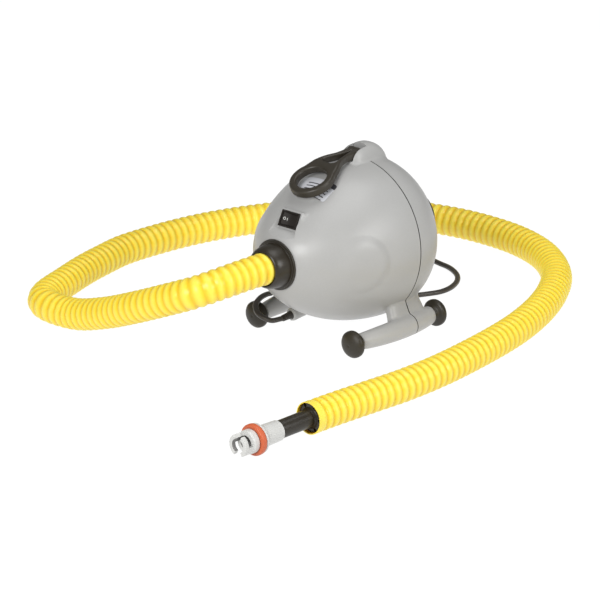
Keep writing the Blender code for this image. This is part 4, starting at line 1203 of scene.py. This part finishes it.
def handle_bend_table():
    """Distance along, height and slope of the handle's middle plane every 0.5 mm."""
    table = [(0.0, 0.0, ARM_SLOPE)]
    for i in range(230):
        slope = handle_slope(BEND_STEP * (i + 0.5))
        along, height, _ = table[-1]
        table.append((along + BEND_STEP * cos(slope), height - BEND_STEP * sin(slope),
                      handle_slope(BEND_STEP * (i + 1))))
    return table


def slab(name, loops, thickness, round_off):
    """A flat plate with holes and rounded edges, filled from closed outlines."""
    curve = bpy.data.curves.new(name, "CURVE")
    curve.dimensions = "2D"
    curve.fill_mode = "BOTH"
    curve.extrude = thickness / 2 - round_off
    curve.bevel_depth = round_off
    curve.bevel_resolution = 3
    curve.offset = -round_off
    for loop in loops:
        spline = curve.splines.new("POLY")
        spline.points.add(len(loop) - 1)
        for spot, (x, y) in zip(spline.points, loop):
            spot.co = (x, y, 0, 1)
        spline.use_cyclic_u = True
    source = bpy.data.objects.new(name, curve)
    bpy.context.scene.collection.objects.link(source)
    bpy.context.view_layer.update()
    graph = bpy.context.evaluated_depsgraph_get()
    mesh = bpy.data.meshes.new_from_object(source.evaluated_get(graph))
    bpy.data.objects.remove(source, do_unlink=True)
    bm = bmesh.new()
    bm.from_mesh(mesh)
    bmesh.ops.remove_doubles(bm, verts=bm.verts, dist=1e-6)
    return add_mesh(name, bm)


def add_handle():
    right = [(0.0092, -0.003), (0.0092, 0.01), (0.0092, 0.0245), (0.01, 0.0285), (0.0113, 0.0325),
             (0.013, 0.0372), (0.0152, 0.0425), (0.0174, 0.047), (0.0198, 0.052)]
    angles = [radians(-32 + 122 * i / 39) for i in range(40)]
    half = right + [(RING_OUT_R * cos(a), RING_REACH + RING_OUT_R * sin(a)) for a in angles]
    outer = half + [(-x, r) for x, r in reversed(half[:-1])]
    hole = circle(RING_IN_R, 72, RING_REACH)
    side = [(0.0008, 0.009), (0.0016, 0.013), (0.003, 0.018), (0.0046, 0.024), (0.0062, 0.03),
            (0.008, 0.036), (0.0095, 0.042), (0.0102, 0.045), (0.0096, 0.0474), (0.006, 0.0492)]
    gap = [(0.0, 0.0068)] + side + [(0.0, 0.0498)] + [(-x, r) for x, r in reversed(side)]
    handle = slab("handle_fine", (outer, hole, gap), HANDLE_THICK, 0.0024)
    remesh(handle, 0.0007)
    table = handle_bend_table()
    bm = bmesh.new()
    bm.from_mesh(handle.data)
    relax(bm, bm.verts, 3)
    for vert in bm.verts:
        reach, lift = vert.co.y, vert.co.z
        if reach <= 0:
            along, height, slope = reach * cos(ARM_SLOPE), -reach * sin(ARM_SLOPE), ARM_SLOPE
        else:
            i = min(int(reach / BEND_STEP), 228)
            part = reach / BEND_STEP - i
            a, b = table[i], table[i + 1]
            along, height, slope = (a[j] + (b[j] - a[j]) * part for j in range(3))
        vert.co.y = PIN_Y - along - lift * sin(slope)
        vert.co.z = PIN_Z + height + lift * cos(slope)
    bm.to_mesh(handle.data)
    bm.free()
    barrel = rod("barrel", (-0.0092, PIN_Y, PIN_Z), (0.0092, PIN_Y, PIN_Z), 0.006, 48)
    boolean(handle, "UNION", bevelled(barrel, 0.0006))
    cut(handle, rod("bore", (-0.02, PIN_Y, PIN_Z), (0.02, PIN_Y, PIN_Z), 0.0028))
    shade(handle, 45)
    finish_piece(handle, "handle", "carry_handle", body="handle")


def top_height(x, y):
    across = x / (1 + WIDE * front_share(y))
    return axis_height(y) + sqrt(egg_radius(y) ** 2 - across ** 2) * top_factor(y)


def add_label():
    half_x, first, last, rows, columns, corner = 0.0258, -0.0688, -0.0432, 40, 64, 0.003
    bm = bmesh.new()
    grid = []
    for i in range(rows + 1):
        for j in range(columns + 1):
            x = -half_x + 2 * half_x * j / columns
            y = first + (last - first) * i / rows
            inset_x = max(0.0, abs(x) - (half_x - corner))
            inset_y = max(0.0, abs(y - (first + last) / 2) - ((last - first) / 2 - corner))
            over = hypot(inset_x, inset_y) - corner
            if over > 0:
                shrink = corner / (over + corner)
                x = copysign(half_x - corner + inset_x * shrink, x)
                middle = (first + last) / 2
                y = middle + copysign((last - first) / 2 - corner + inset_y * shrink, y - middle)
            grid.append(bm.verts.new((x, y, top_height(x, y) + 0.00035)))
    width = columns + 1
    for i in range(rows):
        for j in range(columns):
            k = i * width + j
            bm.faces.new((grid[k], grid[k + 1], grid[k + 1 + width], grid[k + width]))
    label = add_mesh("label_fine", bm)
    modifier = label.modifiers.new("film", "SOLIDIFY")
    modifier.thickness = 0.00025
    modifier.offset = 1.0
    apply_modifiers(label)
    shade(label, 40)
    finish_piece(label, "label", "rating_label")


CARRIED = {
    "steel": "handle_pin shell_screw_left shell_screw_right motor_shaft armature_core motor_can stator_core "
             "end_frame_front end_frame_rear bearing_front bearing_rear",
    "copper": "commutator field_coil_upper field_coil_lower",
    "brass": "brush_holder_left brush_holder_right",
    "carbon": "carbon_brush_left carbon_brush_right",
    "foam": "intake_filter",
    "foot": "mount_ring_front mount_ring_rear",
    "dark": "suppressor_capacitor",
    "inner": "blower_cover blower_housing diffuser_plate impeller_front impeller_rear motor_bulkhead "
             "terminal_block",
}


def paint_carried():
    """Procedural materials for the CAD nodes that are shown as they are."""
    for key, names in CARRIED.items():
        for name in names.split():
            paint(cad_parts[name], key)


def main():
    add_camera()
    add_studio()
    add_cords()
    add_shells()
    add_feet()
    add_intake()
    add_switch()
    add_handle()
    add_label()
    paint_carried()


main()
